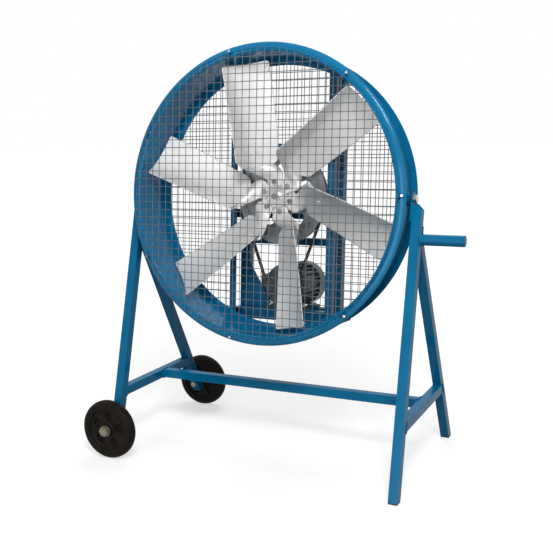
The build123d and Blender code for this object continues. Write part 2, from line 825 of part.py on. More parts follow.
save(fan_block(-upright_spread, upright_spread, top_rail_height, top_rail_height + angle_size,
               rear_face - angle_wall, rear_face), "top_rail")
save(cross_tube_at(rear_tube_inner, -cross_rail_drop - cross_rail_height / 2,
                   rear_tube_front - rear_tube / 2, cross_rail_height, rear_tube), "cross_rail")
save(group([
    cross_tube_at(upright_spread, beam_top - rear_tube / 2, front_block_plane, rear_tube, rear_tube),
    cross_tube_at(rear_tube_outer, beam_top - rear_tube / 2, rear_block_plane, rear_tube, rear_tube),
]), "bearing_beams")
save(group([
    cross_tube_at(upright_spread, motor_base - motor_rail / 2, front_foot_plane, motor_rail, motor_rail),
    cross_tube_at(upright_spread, motor_base - motor_rail / 2, rear_foot_plane, motor_rail, motor_rail),
]), "motor_rails")

# Triangular gusset between the left rear upright and the front motor rail.
with BuildPart() as gusset:
    with BuildSketch(fan_plane.offset(rear_tube_front - gusset_thickness)):
        with BuildLine():
            Polyline((-rear_tube_inner, motor_base), (-rear_tube_inner, motor_base + gusset_height),
                     (-rear_tube_inner + gusset_width, motor_base), (-rear_tube_inner, motor_base))
        make_face()
    extrude(amount=gusset_thickness)
save(gusset.part, "gusset")


# ================================================================ bearings
def pillow_block(centre_plane):
    """Cast bearing housing: a foot with two bolt holes and a round body over it."""
    back = centre_plane - block_width / 2
    with BuildPart() as piece:
        with BuildSketch(fan_plane.offset(back)):
            Circle(block_body_radius)
            with Locations((0, (beam_top + 0) / 2)):
                Rectangle(2 * block_body_radius, block_centre_height)
            with Locations((0, beam_top + block_base_height / 2)):
                Rectangle(block_length, block_base_height)
            Circle(bearing_diameter / 2, mode=Mode.SUBTRACT)
        extrude(amount=block_width)
        with BuildSketch(Plane(origin=fan_point(0, beam_top, centre_plane), x_dir=fan_right, z_dir=fan_up)):
            with Locations((-block_bolt_spacing / 2, 0), (block_bolt_spacing / 2, 0)):
                Circle(block_bolt_diameter / 2)
        extrude(amount=block_base_height, mode=Mode.SUBTRACT)
    return piece.part


def bearing_insert(centre_plane):
    """Ball bearing insert that the shaft runs in."""
    with BuildPart() as piece:
        with BuildSketch(fan_plane.offset(centre_plane - block_width / 2 - bearing_lip)):
            Circle(bearing_diameter / 2)
            Circle(shaft_diameter / 2 + slip, mode=Mode.SUBTRACT)
        extrude(amount=block_width + 2 * bearing_lip)
    return piece.part


def block_bolts(centre_plane):
    """The two bolts that hold a housing down on its beam."""
    top = beam_top + block_base_height
    bolts = []
    for side in (-1, 1):
        place = fan_point(side * block_bolt_spacing / 2, top, centre_plane)
        bolts.append(hex_bolt(Plane(origin=place, x_dir=fan_right, z_dir=fan_up),
                              1.7 * block_bolt_diameter, block_bolt_head_length,
                              block_bolt_diameter, block_base_height))
    return bolts


save(group([pillow_block(front_block_plane), pillow_block(rear_block_plane)]), "pillow_blocks")
save(group([bearing_insert(front_block_plane), bearing_insert(rear_block_plane)]), "bearing_inserts")
save(group(block_bolts(front_block_plane) + block_bolts(rear_block_plane)), "bearing_bolts")

# ================================================================ impeller
shaft_back = rear_block_plane - block_width / 2 - bearing_lip - shaft_tail
with BuildPart() as fan_shaft:
    with BuildSketch(fan_plane.offset(shaft_back)):
        Circle(shaft_diameter / 2)
    extrude(amount=hub_front - shaft_back)
    with BuildSketch(fan_plane.offset(hub_front)):
        Circle(shaft_stub_diameter / 2)
    extrude(amount=shaft_washer_thickness + shaft_nut_length + 4)
save(fan_shaft.part, "fan_shaft")

# Hub: a plate for the arms' pads, a spigot that centres them, and a boss towards the sheave.
with BuildPart() as fan_hub:
    with BuildSketch(fan_plane.offset(hub_face - hub_plate_thickness)):
        Circle(hub_plate_radius)
    extrude(amount=hub_plate_thickness)
    with BuildSketch(fan_plane.offset(hub_face - hub_plate_thickness)):
        Circle(hub_boss_radius)
    extrude(amount=-hub_boss_length)
    with BuildSketch(fan_plane.offset(hub_face)):
        Circle(arm_pad_start - gap)
    extrude(amount=arm_thickness)
    with BuildSketch(fan_plane.offset(hub_front)):
        Circle(shaft_diameter / 2)
    extrude(amount=-arm_thickness - hub_plate_thickness - hub_boss_length, mode=Mode.SUBTRACT)
save(fan_hub.part, "fan_hub")

# Shaft nut on the thick washer that clamps the arms' pads.
with BuildPart() as shaft_nut:
    with BuildSketch(fan_plane.offset(hub_front)):
        Circle(shaft_washer_diameter / 2)
    extrude(amount=shaft_washer_thickness)
    with BuildSketch(fan_plane.offset(hub_front + shaft_washer_thickness)):
        RegularPolygon(hexagon_radius(shaft_nut_across_flats), 6)
    extrude(amount=shaft_nut_length)
    with BuildSketch(fan_plane.offset(hub_front)):
        Circle(shaft_stub_diameter / 2)
    extrude(amount=shaft_washer_thickness + shaft_nut_length, mode=Mode.SUBTRACT)
save(shaft_nut.part, "shaft_nut")


def blade_frame(index):
    """Origin and directions of one blade: out along it, across its chord and out of its face."""
    angle = radians(blade_angle - index * 360 / blade_count)
    outward = fan_right * cos(angle) + fan_up * sin(angle)
    around = fan_up * cos(angle) - fan_right * sin(angle)
    pitch = radians(blade_pitch)
    across = around * cos(pitch) + fan_forward * sin(pitch)
    return fan_point(0, 0, blade_plane), outward, around, across, outward.cross(across)


def blade(index):
    """Pitched, cambered sheet blade that narrows to its root, with rounded tip corners."""
    origin, outward, around, across, face = blade_frame(index)
    half = blade_chord / 2
    root_half = blade_root_chord / 2
    skin = blade_thickness / 2
    with BuildPart() as piece:
        with BuildSketch(Plane(origin=origin + outward * blade_root_radius, x_dir=across, z_dir=outward)):
            with BuildLine():
                ThreePointArc((-half, skin), (0, skin - blade_camber), (half, skin))
                Line((half, skin), (half, -skin))
                ThreePointArc((half, -skin), (0, -skin - blade_camber), (-half, -skin))
                Line((-half, -skin), (-half, skin))
            make_face()
        extrude(amount=blade_tip_radius - blade_root_radius)
        with BuildSketch(Plane(origin=origin, x_dir=across, z_dir=face)):
            with BuildLine():
                Polyline((-root_half, -blade_root_radius), (-half, -blade_shoulder_radius),
                         (-half, -blade_tip_radius + blade_tip_corner),
                         (-half + blade_tip_corner, -blade_tip_radius),
                         (half - blade_tip_corner, -blade_tip_radius),
                         (half, -blade_tip_radius + blade_tip_corner),
                         (half, -blade_shoulder_radius), (root_half, -blade_root_radius),
                         (-root_half, -blade_root_radius))
            make_face()
        extrude(amount=2 * blade_camber, both=True, mode=Mode.INTERSECT)
    return piece.part


def blade_arm(index):
    """Sheet arm: a pad on the hub plate, a wing that widens and twists up to the blade, and a tongue
    under the blade."""
    origin, outward, around, across, face = blade_frame(index)
    pad_origin = fan_point(0, 0, hub_face + arm_thickness / 2)
    wing_origin = origin - face * (blade_camber + (blade_thickness + arm_thickness) / 2)
    sections = [(pad_origin, arm_pad_start, around, arm_pad_width),
                (pad_origin, arm_bend_radius, around, arm_bend_width),
                (wing_origin, arm_twist_end, across, arm_wing_width)]
    with BuildPart() as piece:
        for near, far in zip(sections, sections[1:]):
            for centre, radius, width_way, width in (near, far):
                with BuildSketch(Plane(origin=centre + outward * radius, x_dir=width_way, z_dir=outward)):
                    Rectangle(width, arm_thickness)
            loft()
        with BuildSketch(Plane(origin=wing_origin + outward * arm_twist_end, x_dir=across, z_dir=outward)):
            Rectangle(arm_tongue_width, arm_thickness)
        extrude(amount=arm_end_radius - arm_twist_end)
    return piece.part


def bolt_head(place, direction, first, diameter, length):
    """Hexagon head that sits on a sheet."""
    with BuildPart() as piece:
        with BuildSketch(Plane(origin=place, x_dir=first, z_dir=direction)):
            RegularPolygon(diameter * 0.85, 6)
        extrude(amount=length)
    return piece.part


def arm_bolts(index):
    """Bolt heads on an arm's pad and on the blade's face over the arm."""
    origin, outward, around, across, face = blade_frame(index)
    pad_top = fan_point(0, 0, hub_front) + outward * pad_bolt_radius
    face_top = origin + face * (blade_thickness / 2 - blade_camber + 0.4) + outward * blade_bolt_radius
    return [bolt_head(pad_top, fan_forward, around, pad_bolt_diameter, pad_bolt_head_length),
            bolt_head(face_top, face, across, blade_bolt_diameter, blade_bolt_head_length)]


for index in range(blade_count):
    save(blade(index), f"blade_{index + 1}")
save(group([blade_arm(index) for index in range(blade_count)]), "blade_arms")
save(group([bolt for index in range(blade_count) for bolt in arm_bolts(index)]), "blade_bolts")


# ================================================================ drive
belt_half_top = belt_top_width / 2
belt_half_bottom = belt_half_top - belt_thickness * tan(radians(belt_side_angle))
pulley_drop = motor_centre_drop


def groove_points(pitch_radius, half_width):
    """V groove outline of a pulley: wide enough to leave the belt a small gap all round."""
    top = pitch_radius + groove_lip
    floor = pitch_radius - belt_thickness / 2 - groove_floor
    slope = tan(radians(belt_side_angle))
    side_gap = gap / cos(radians(belt_side_angle))
    half_at_top = belt_half_top + side_gap + (top - pitch_radius - belt_thickness / 2) * slope
    half_at_floor = half_at_top - (top - floor) * slope
    return [(half_width, top), (half_at_top, top), (half_at_floor, floor),
            (-half_at_floor, floor), (-half_at_top, top), (-half_width, top)]


# Sheave: grooved rim, thin web with round openings, and a hub on the fan shaft.
sheave_half = sheave_width / 2
rim_inner_radius = sheave_pitch_radius + groove_lip - sheave_rim_depth
web_ring_radius = (rim_inner_radius + sheave_hub_radius) / 2
belt_origin = fan_point(0, 0, belt_plane)
with BuildPart() as sheave:
    with BuildSketch(Plane(origin=belt_origin, x_dir=fan_forward, z_dir=fan_right * -1)):
        with BuildLine():
            Polyline(*groove_points(sheave_pitch_radius, sheave_half),
                     (-sheave_half, rim_inner_radius), (-sheave_web / 2, rim_inner_radius),
                     (-sheave_web / 2, sheave_hub_radius), (-sheave_hub_length / 2, sheave_hub_radius),
                     (-sheave_hub_length / 2, shaft_diameter / 2), (sheave_hub_length / 2, shaft_diameter / 2),
                     (sheave_hub_length / 2, sheave_hub_radius), (sheave_web / 2, sheave_hub_radius),
                     (sheave_web / 2, rim_inner_radius), (sheave_half, rim_inner_radius),
                     close=True)
        make_face()
    revolve(axis=Axis(belt_origin, fan_forward))
    with BuildSketch(fan_plane.offset(belt_plane - sheave_web / 2)):
        with PolarLocations(web_ring_radius, sheave_window_count, start_angle=18):
            Circle(sheave_window_radius)
    extrude(amount=sheave_web, mode=Mode.SUBTRACT)
save(sheave.part, "sheave")

pulley_origin = fan_point(0, -pulley_drop, belt_plane)
with BuildPart() as motor_pulley:
    with BuildSketch(Plane(origin=pulley_origin, x_dir=fan_forward, z_dir=fan_right * -1)):
        with BuildLine():
            Polyline(*groove_points(pulley_pitch_radius, pulley_width / 2),
                     (-pulley_width / 2, motor_shaft_diameter / 2),
                     (pulley_width / 2, motor_shaft_diameter / 2), close=True)
        make_face()
    revolve(axis=Axis(pulley_origin, fan_forward))
save(motor_pulley.part, "motor_pulley")

# V belt: a trapezium swept round both pulleys, two arcs joined by their outer tangents.
wrap = asin((sheave_pitch_radius - pulley_pitch_radius) / pulley_drop)
big, small = sheave_pitch_radius, pulley_pitch_radius
right_high = (big * cos(wrap), -big * sin(wrap))
right_low = (small * cos(wrap), -pulley_drop - small * sin(wrap))
left_low = (-right_low[0], right_low[1])
left_high = (-right_high[0], right_high[1])
with BuildPart() as belt:
    with BuildLine(fan_plane.offset(belt_plane)) as belt_path:
        ThreePointArc(right_high, (0, big), left_high)
        Line(left_high, left_low)
        ThreePointArc(left_low, (0, -pulley_drop - small), right_low)
        Line(right_low, right_high)
    start = fan_point(right_high[0], right_high[1], belt_plane)
    radial = fan_right * cos(wrap) - fan_up * sin(wrap)
    with BuildSketch(Plane(origin=start, x_dir=fan_forward, z_dir=fan_forward.cross(radial))):
        with BuildLine():
            Polyline((-belt_half_top, belt_thickness / 2), (belt_half_top, belt_thickness / 2),
                     (belt_half_bottom, -belt_thickness / 2), (-belt_half_bottom, -belt_thickness / 2),
                     close=True)
        make_face()
    sweep(path=belt_path.wire())
save(belt.part, "belt")

# ================================================================ motor
motor_axis_point = fan_point(0, -motor_centre_drop, 0)
motor_plane = Plane(origin=motor_axis_point, x_dir=fan_right, z_dir=fan_forward)

# Finned housing with its four feet on the motor rails.
with BuildPart() as motor_housing:
    with BuildSketch(motor_plane.offset(motor_back)):
        Circle(motor_core_radius)
        with PolarLocations(motor_core_radius + motor_fin_height / 2 - 1, motor_fin_count,
                            start_angle=180 / motor_fin_count):
            Rectangle(motor_fin_height + 2, motor_fin_thickness)
    extrude(amount=motor_body_length)
    for foot_plane in (front_foot_plane, rear_foot_plane):
        with BuildSketch(motor_plane.offset(foot_plane - motor_foot_length / 2)):
            for side in (-1, 1):
                with Locations((side * motor_foot_spread / 2, -motor_centre_height + motor_foot_thickness / 2)):
                    Rectangle(motor_foot_width, motor_foot_thickness)
                web_x = (motor_foot_spread - motor_foot_width - motor_foot_web) / 2
                with Locations((side * web_x, -motor_centre_height / 2 - motor_foot_web)):
                    Rectangle(motor_foot_web, motor_centre_height - 2 * motor_foot_web)
        extrude(amount=motor_foot_length)
    with BuildSketch(Plane(origin=fan_point(0, motor_base, 0), x_dir=fan_right, z_dir=fan_up)):
        for foot_plane in (front_foot_plane, rear_foot_plane):
            with Locations((-motor_foot_spread / 2, -foot_plane), (motor_foot_spread / 2, -foot_plane)):
                Circle(motor_bolt_diameter / 2)
    extrude(amount=motor_foot_thickness, mode=Mode.SUBTRACT)
save(motor_housing.part, "motor_housing")


def end_shield(level, direction, boss_length):
    """Cast end shield: a round plate with a chamfered edge and a bearing boss."""
    plane = Plane(origin=motor_plane.offset(level).origin, x_dir=fan_right, z_dir=fan_forward * direction)
    with BuildPart() as piece:
        with BuildSketch(plane):
            Circle(motor_outer_radius)
        extrude(amount=shield_thickness, taper=20)
        with BuildSketch(plane.offset(shield_thickness)):
            Circle(shield_boss_radius)
        extrude(amount=boss_length)
        with BuildSketch(plane):
            Circle(motor_shaft_diameter / 2 + slip)
        extrude(amount=shield_thickness + boss_length, mode=Mode.SUBTRACT)
    return piece.part


# Rear shield, which sits inside the pressed cowl over the motor's own cooling fan.
with BuildPart() as rear_shield:
    with BuildSketch(motor_plane.offset(motor_back)):
        Circle(motor_outer_radius - cowl_wall - gap)
    extrude(amount=-shield_thickness)
save(group([end_shield(motor_front, 1, shield_boss_length), rear_shield.part]), "motor_shields")

with BuildPart() as fan_cowl:
    with BuildSketch(motor_plane.offset(motor_back)):
        Circle(motor_outer_radius)
        Circle(motor_outer_radius - cowl_wall, mode=Mode.SUBTRACT)
    extrude(amount=-cowl_length)
    with BuildSketch(motor_plane.offset(motor_back - cowl_length)):
        Circle(motor_outer_radius)
        with PolarLocations(motor_outer_radius * 0.6, cowl_slot_count):
            SlotOverall(motor_outer_radius * 0.5, 6, mode=Mode.SUBTRACT)
    extrude(amount=-cowl_wall)
    fillet(fan_cowl.faces().filter_by(GeomType.PLANE).sort_by(Axis(motor_axis_point, fan_forward))[0]
           .outer_wire().edges(), radius=cowl_wall * 0.9)
save(fan_cowl.part, "motor_cowl")

# Terminal box on the left side of the motor, with a gland for the supply cord below it.
box_centre = rear_tube_front - gusset_thickness - box_gap - box_length / 2
box_face = -motor_outer_radius - box_depth
with BuildPart() as terminal_box:
    with BuildSketch(Plane(origin=fan_point(box_face, -motor_centre_drop, box_centre), x_dir=fan_forward,
                           z_dir=fan_right)):
        RectangleRounded(box_length, box_height, 6)
    extrude(amount=box_depth + 4)
    with BuildSketch(motor_plane.offset(motor_back)):
        Circle(motor_outer_radius)
    extrude(amount=motor_body_length, mode=Mode.SUBTRACT)
save(terminal_box.part, "terminal_box")

gland_top = fan_point(box_face + box_depth / 2, -motor_centre_drop - box_height / 2, box_centre)
with BuildPart() as cable_gland:
    with BuildSketch(Plane(origin=gland_top, x_dir=fan_right, z_dir=fan_up * -1)):
        RegularPolygon(gland_diameter / 2, 6)
    extrude(amount=gland_length / 3)
    with BuildSketch(Plane(origin=gland_top, x_dir=fan_right, z_dir=fan_up * -1)):
        Circle(gland_diameter * 0.4)
        Circle(gland_diameter * 0.2, mode=Mode.SUBTRACT)
    extrude(amount=gland_length)
save(cable_gland.part, "cable_gland")

motor_bolts = []
for foot_plane in (front_foot_plane, rear_foot_plane):
    for side in (-1, 1):
        place = fan_point(side * motor_foot_spread / 2, motor_base + motor_foot_thickness, foot_plane)
        motor_bolts.append(hex_bolt(Plane(origin=place, x_dir=fan_right, z_dir=fan_up),
                                    1.6 * motor_bolt_diameter, motor_bolt_head_length,
                                    motor_bolt_diameter, motor_foot_thickness))
save(group(motor_bolts), "motor_bolts")

# Motor shaft: runs in the front shield's boss and carries the pulley.
with BuildPart() as motor_shaft:
    with BuildSketch(motor_plane.offset(motor_front)):
        Circle(motor_shaft_diameter / 2)
    extrude(amount=shield_thickness + motor_shaft_length)
save(motor_shaft.part, "motor_shaft")
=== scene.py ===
import json
from math import cos, pi, radians, sin, sqrt

import bmesh
import bpy
import numpy as np
from mathutils import Matrix, Vector

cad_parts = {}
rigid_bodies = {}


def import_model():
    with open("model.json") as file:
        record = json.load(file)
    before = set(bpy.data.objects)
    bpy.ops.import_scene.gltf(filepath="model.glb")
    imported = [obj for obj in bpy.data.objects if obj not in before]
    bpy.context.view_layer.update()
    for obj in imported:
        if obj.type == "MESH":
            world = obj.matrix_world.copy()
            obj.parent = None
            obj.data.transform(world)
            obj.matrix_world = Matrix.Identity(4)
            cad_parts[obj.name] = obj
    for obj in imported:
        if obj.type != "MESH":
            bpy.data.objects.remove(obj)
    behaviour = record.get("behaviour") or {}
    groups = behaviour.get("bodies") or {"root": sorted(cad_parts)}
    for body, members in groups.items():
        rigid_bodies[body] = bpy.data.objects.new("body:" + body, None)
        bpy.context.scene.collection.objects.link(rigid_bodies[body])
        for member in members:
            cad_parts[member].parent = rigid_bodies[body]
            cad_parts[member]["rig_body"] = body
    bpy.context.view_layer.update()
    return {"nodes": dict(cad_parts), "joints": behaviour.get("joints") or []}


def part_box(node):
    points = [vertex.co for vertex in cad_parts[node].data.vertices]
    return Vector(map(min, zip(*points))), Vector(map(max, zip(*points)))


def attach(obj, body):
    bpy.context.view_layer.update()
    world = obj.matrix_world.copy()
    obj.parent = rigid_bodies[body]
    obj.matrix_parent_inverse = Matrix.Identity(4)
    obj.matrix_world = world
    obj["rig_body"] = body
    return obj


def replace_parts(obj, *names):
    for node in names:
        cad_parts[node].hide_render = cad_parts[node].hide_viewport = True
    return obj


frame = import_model()
nodes = frame["nodes"]
joints = {joint["name"]: joint for joint in frame["joints"]}

# ---------------------------------------------------------------- view and studio
# The camera stands where the photograph was taken: to the right of the fan, a little above its tilt
# axis, looking down and to the left with a slight roll. Its place is measured from that axis.
tilt_axis = Vector(joints["drum_tilt"]["pos_m"])
turn, dip, lean = radians(25.356), radians(9.598), -0.0178
ahead = Vector((-sin(turn) * cos(dip), cos(turn) * cos(dip), -sin(dip)))
level = Vector((cos(turn), sin(turn), 0))
over = level.cross(ahead)
camera_right = level * cos(lean) + over * sin(lean)
camera_up = over * cos(lean) - level * sin(lean)
camera = bpy.data.objects.new("camera", bpy.data.cameras.new("camera"))
camera.data.lens = 55.82
camera.data.clip_end = 200
stand_point = tilt_axis + Vector((1.2112, -2.5189, 0.2071))
camera.matrix_world = (Matrix.Translation(stand_point)
                       @ Matrix((camera_right, camera_up, -ahead)).transposed().to_4x4())
bpy.context.scene.collection.objects.link(camera)
bpy.context.scene.camera = camera
bpy.context.scene.view_settings.view_transform = "Standard"

# White studio: the world and the floor look white to the camera and in reflections, and light the
# fan more softly than that. The floor's glow makes up for the lamps' falling off with distance, so
# that open floor is just white and the fan's shadow still shows on it.
seen_white = 1.0
world_light = 0.30
floor_white = 0.62
floor_bounce = 0.11
glow_near, glow_far, glow_reach = 0.51, 0.83, 6.0


def seen_by_eye(tree):
    """Factor that is 1 for camera, glossy and transmission rays and 0 for the rest."""
    path = tree.nodes.new("ShaderNodeLightPath")
    first = tree.nodes.new("ShaderNodeMath")
    first.operation = "MAXIMUM"
    both = tree.nodes.new("ShaderNodeMath")
    both.operation = "MAXIMUM"
    tree.links.new(path.outputs["Is Camera Ray"], first.inputs[0])
    tree.links.new(path.outputs["Is Glossy Ray"], first.inputs[1])
    tree.links.new(first.outputs[0], both.inputs[0])
    tree.links.new(path.outputs["Is Transmission Ray"], both.inputs[1])
    return both.outputs[0]


world = bpy.data.worlds.new("studio")
world.use_nodes = True
bpy.context.scene.world = world
sky = world.node_tree
sky.nodes.clear()
lit = sky.nodes.new("ShaderNodeBackground")
lit.inputs["Strength"].default_value = world_light
plain = sky.nodes.new("ShaderNodeBackground")
plain.inputs["Strength"].default_value = seen_white
for shader in (lit, plain):
    shader.inputs["Color"].default_value = (1, 1, 1, 1)
choice = sky.nodes.new("ShaderNodeMixShader")
sky_out = sky.nodes.new("ShaderNodeOutputWorld")
sky.links.new(seen_by_eye(sky), choice.inputs[0])
sky.links.new(lit.outputs[0], choice.inputs[1])
sky.links.new(plain.outputs[0], choice.inputs[2])
sky.links.new(choice.outputs[0], sky_out.inputs[0])

far = 60
floor_mesh = bpy.data.meshes.new("floor")
floor_mesh.from_pydata([(-far, -far, 0), (far, -far, 0), (far, far, 0), (-far, far, 0)], [], [(0, 1, 2, 3)])
floor = bpy.data.objects.new("floor", floor_mesh)
bpy.context.scene.collection.objects.link(floor)
floor_finish = bpy.data.materials.new("studio_floor")
floor_finish.use_nodes = True
ground = floor_finish.node_tree
ground.nodes.clear()
seen_paint = ground.nodes.new("ShaderNodeBsdfDiffuse")
seen_paint.inputs["Color"].default_value = (floor_white, floor_white, floor_white, 1)
seen_glow = ground.nodes.new("ShaderNodeEmission")
floor_place = ground.nodes.new("ShaderNodeTexCoord")
from_fan = ground.nodes.new("ShaderNodeVectorMath")
from_fan.operation = "DISTANCE"
from_fan.inputs[1].default_value = (tilt_axis.x, tilt_axis.y, 0)
glow_rise = ground.nodes.new("ShaderNodeMapRange")
glow_rise.inputs["From Max"].default_value = glow_reach
glow_rise.inputs["To Min"].default_value = glow_near
glow_rise.inputs["To Max"].default_value = glow_far
ground.links.new(floor_place.outputs["Object"], from_fan.inputs[0])
ground.links.new(from_fan.outputs["Value"], glow_rise.inputs["Value"])
ground.links.new(glow_rise.outputs["Result"], seen_glow.inputs["Strength"])
seen = ground.nodes.new("ShaderNodeAddShader")
quiet = ground.nodes.new("ShaderNodeBsdfDiffuse")
quiet.inputs["Color"].default_value = (floor_bounce, floor_bounce, floor_bounce, 1)
floor_choice = ground.nodes.new("ShaderNodeMixShader")
floor_out = ground.nodes.new("ShaderNodeOutputMaterial")
ground.links.new(seen_paint.outputs[0], seen.inputs[0])
ground.links.new(seen_glow.outputs[0], seen.inputs[1])
ground.links.new(seen_by_eye(ground), floor_choice.inputs[0])
ground.links.new(quiet.outputs[0], floor_choice.inputs[1])
ground.links.new(seen.outputs[0], floor_choice.inputs[2])
ground.links.new(floor_choice.outputs[0], floor_out.inputs[0])
floor_mesh.materials.append(floor_finish)


def lamp(name, place, aim, size, power):
    """Square soft lamp that faces a point."""
    data = bpy.data.lights.new(name, "AREA")
    data.size = size
    data.energy = power
    light = bpy.data.objects.new(name, data)
    light.location = place
    light.rotation_euler = (Vector(aim) - Vector(place)).to_track_quat("-Z", "Y").to_euler()
    bpy.context.scene.collection.objects.link(light)


lamp("key_lamp", tilt_axis + Vector((1.4, -2.5, 2.2)), tilt_axis + Vector((0.1, 0, -0.1)), 1.0, 92)
lamp("fill_lamp", tilt_axis + Vector((0.5, -3.5, -0.25)), tilt_axis, 2.0, 44)
lamp("back_lamp", tilt_axis + Vector((-1.0, 2.7, 3.0)), tilt_axis, 2.4, 60)

# ---------------------------------------------------------------- stand
# Two A-frames of drawn square tube with a level brace each, joined by one cross tube. The tube's
# corners are round, the joints are welded, and everything has the same thick glossy blue enamel.


def material(name, light, dark, patch, rough, grain, bump, metallic=0.0, stretch=(1, 1, 1), coat=0.0,
             specular=0.4):
    """Finish on Object coordinates: a slow noise of the patch scale blends the two colours, and a fine
    noise of the grain scale, stretched by the factors, runs the roughness between its two values and
    raises a bump of the given height in metres."""
    made = bpy.data.materials.new(name)
    made.use_nodes = True
    graph = made.node_tree
    shader = graph.nodes["Principled BSDF"]
    shader.inputs["Metallic"].default_value = metallic
    shader.inputs["Specular IOR Level"].default_value = specular
    shader.inputs["Coat Weight"].default_value = coat
    shader.inputs["Coat Roughness"].default_value = 0.08
    where = graph.nodes.new("ShaderNodeTexCoord")
    frame_map = graph.nodes.new("ShaderNodeMapping")
    frame_map.inputs["Scale"].default_value = stretch
    graph.links.new(where.outputs["Object"], frame_map.inputs["Vector"])
    slow = graph.nodes.new("ShaderNodeTexNoise")
    slow.inputs["Scale"].default_value = patch
    slow.inputs["Detail"].default_value = 5
    fine = graph.nodes.new("ShaderNodeTexNoise")
    fine.inputs["Scale"].default_value = grain
    fine.inputs["Detail"].default_value = 3
    graph.links.new(where.outputs["Object"], slow.inputs["Vector"])
    graph.links.new(frame_map.outputs["Vector"], fine.inputs["Vector"])
    colours = graph.nodes.new("ShaderNodeValToRGB")
    colours.name = "colours"
    colours.color_ramp.elements[0].position = 0.35
    colours.color_ramp.elements[0].color = (*dark, 1)
    colours.color_ramp.elements[1].position = 0.65
    colours.color_ramp.elements[1].color = (*light, 1)
    graph.links.new(slow.outputs["Fac"], colours.inputs["Fac"])
    graph.links.new(colours.outputs["Color"], shader.inputs["Base Color"])
    spread = graph.nodes.new("ShaderNodeMapRange")
    spread.inputs["From Min"].default_value = 0.3
    spread.inputs["From Max"].default_value = 0.7
    spread.inputs["To Min"].default_value = rough[0]
    spread.inputs["To Max"].default_value = rough[1]
    graph.links.new(fine.outputs["Fac"], spread.inputs["Value"])
    graph.links.new(spread.outputs["Result"], shader.inputs["Roughness"])
    raised = graph.nodes.new("ShaderNodeBump")
    raised.inputs["Distance"].default_value = bump
    raised.inputs["Strength"].default_value = 1.0
    graph.links.new(fine.outputs["Fac"], raised.inputs["Height"])
    graph.links.new(raised.outputs["Normal"], shader.inputs["Normal"])
    return made


blue_enamel = material("blue_enamel", (0.0015, 0.155, 0.320), (0.001, 0.130, 0.275), 6.0, (0.26, 0.38),
                       160.0, 0.00010, coat=0.14, specular=0.03)


def weld_mesh(mesh, clean_angle=0.0):
    """Join doubled points, melt flat seams where an angle is given, and turn the faces outwards."""
    work = bmesh.new()
    work.from_mesh(mesh)
    bmesh.ops.remove_doubles(work, verts=work.verts, dist=2e-6)
    if clean_angle:
        bmesh.ops.dissolve_limit(work, angle_limit=clean_angle, verts=work.verts, edges=work.edges)
    bmesh.ops.recalc_face_normals(work, faces=work.faces)
    work.to_mesh(mesh)
    work.free()


def add_piece(name, mesh, finish, body, sharp):
    """Link a mesh as a smooth-shaded piece that rides on a body; edges past the sharp angle stay hard."""
    mesh.materials.clear()
    mesh.materials.append(finish)
    mesh.polygons.foreach_set("use_smooth", np.ones(len(mesh.polygons), bool))
    mesh.set_sharp_from_angle(angle=radians(sharp))
    piece = bpy.data.objects.new(name, mesh)
    bpy.context.scene.collection.objects.link(piece)
    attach(piece, body)
    return piece


def softened(node, finish, width):
    """Copy of a CAD piece whose sharp edges are rounded off over the given width."""
    flat_seam, turned_edge = radians(0.6), radians(32)
    mesh = nodes[node].data.copy()
    weld_mesh(mesh, flat_seam)
    piece = add_piece(f"{node}_softened", mesh, finish, nodes[node]["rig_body"], 40)
    edge = piece.modifiers.new("round_edges", "BEVEL")
    edge.width = width
    edge.segments = 3
    edge.limit_method = "ANGLE"
    edge.angle_limit = turned_edge
    edge.harden_normals = True
    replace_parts(piece, node)
    return piece


for node in ("front_leg_left", "front_leg_right", "rear_leg_left", "rear_leg_right", "braces", "cross_tube"):
    softened(node, blue_enamel, 0.0028)
softened("pivot_lugs", blue_enamel, 0.0010)
for node in ("handle", "handle_cap"):
    softened(node, blue_enamel, 0.0008)

# Plastic caps close the open ends of the two right legs and stand on the floor.
black_plastic = material("black_plastic", (0.022, 0.022, 0.023), (0.014, 0.014, 0.015), 30.0, (0.42, 0.6),
                         900.0, 0.00006)
softened("foot_caps", black_plastic, 0.0008)

# Weld beads run round the tube joints: rippled fillets laid by hand before the paint went on.


def bead(path, size, closed=True, pitch=0.0045):
    """Rippled fillet: a circle of the bead's size carried along a path of points, its radius swelling
    by a fifth as a cosine of the distance run."""
    step_length, ripple, sides = 0.0011, 0.2, 8
    points = np.array(path, float)
    if closed:
        points = np.vstack([points, points[:1]])
    lengths = np.linalg.norm(np.diff(points, axis=0), axis=1)
    run = np.concatenate([[0], np.cumsum(lengths)])
    steps = max(12, int(run[-1] / step_length))
    place = np.linspace(0, run[-1], steps, endpoint=not closed)
    middle = np.stack([np.interp(place, run, points[:, axis]) for axis in range(3)], -1)
    ahead_way = np.roll(middle, -1, 0) - np.roll(middle, 1, 0) if closed else np.gradient(middle, axis=0)
    ahead_way /= np.linalg.norm(ahead_way, axis=1)[:, None]
    across = np.cross(ahead_way, np.array((0.31, 0.47, 0.83)))
    across /= np.linalg.norm(across, axis=1)[:, None]
    second = np.cross(ahead_way, across)
    angle = np.linspace(0, 2 * pi, sides, endpoint=False)
    swell = size * (1 + ripple * np.cos(2 * pi * place / pitch))
    if not closed:
        swell = swell * np.sqrt(np.clip(1 - np.abs(np.linspace(-1, 1, steps)) ** 12, 0, 1))
    ring = across[:, None] * np.cos(angle)[None, :, None] + second[:, None] * np.sin(angle)[None, :, None]
    return middle[:, None] + ring * swell[:, None, None], closed, True


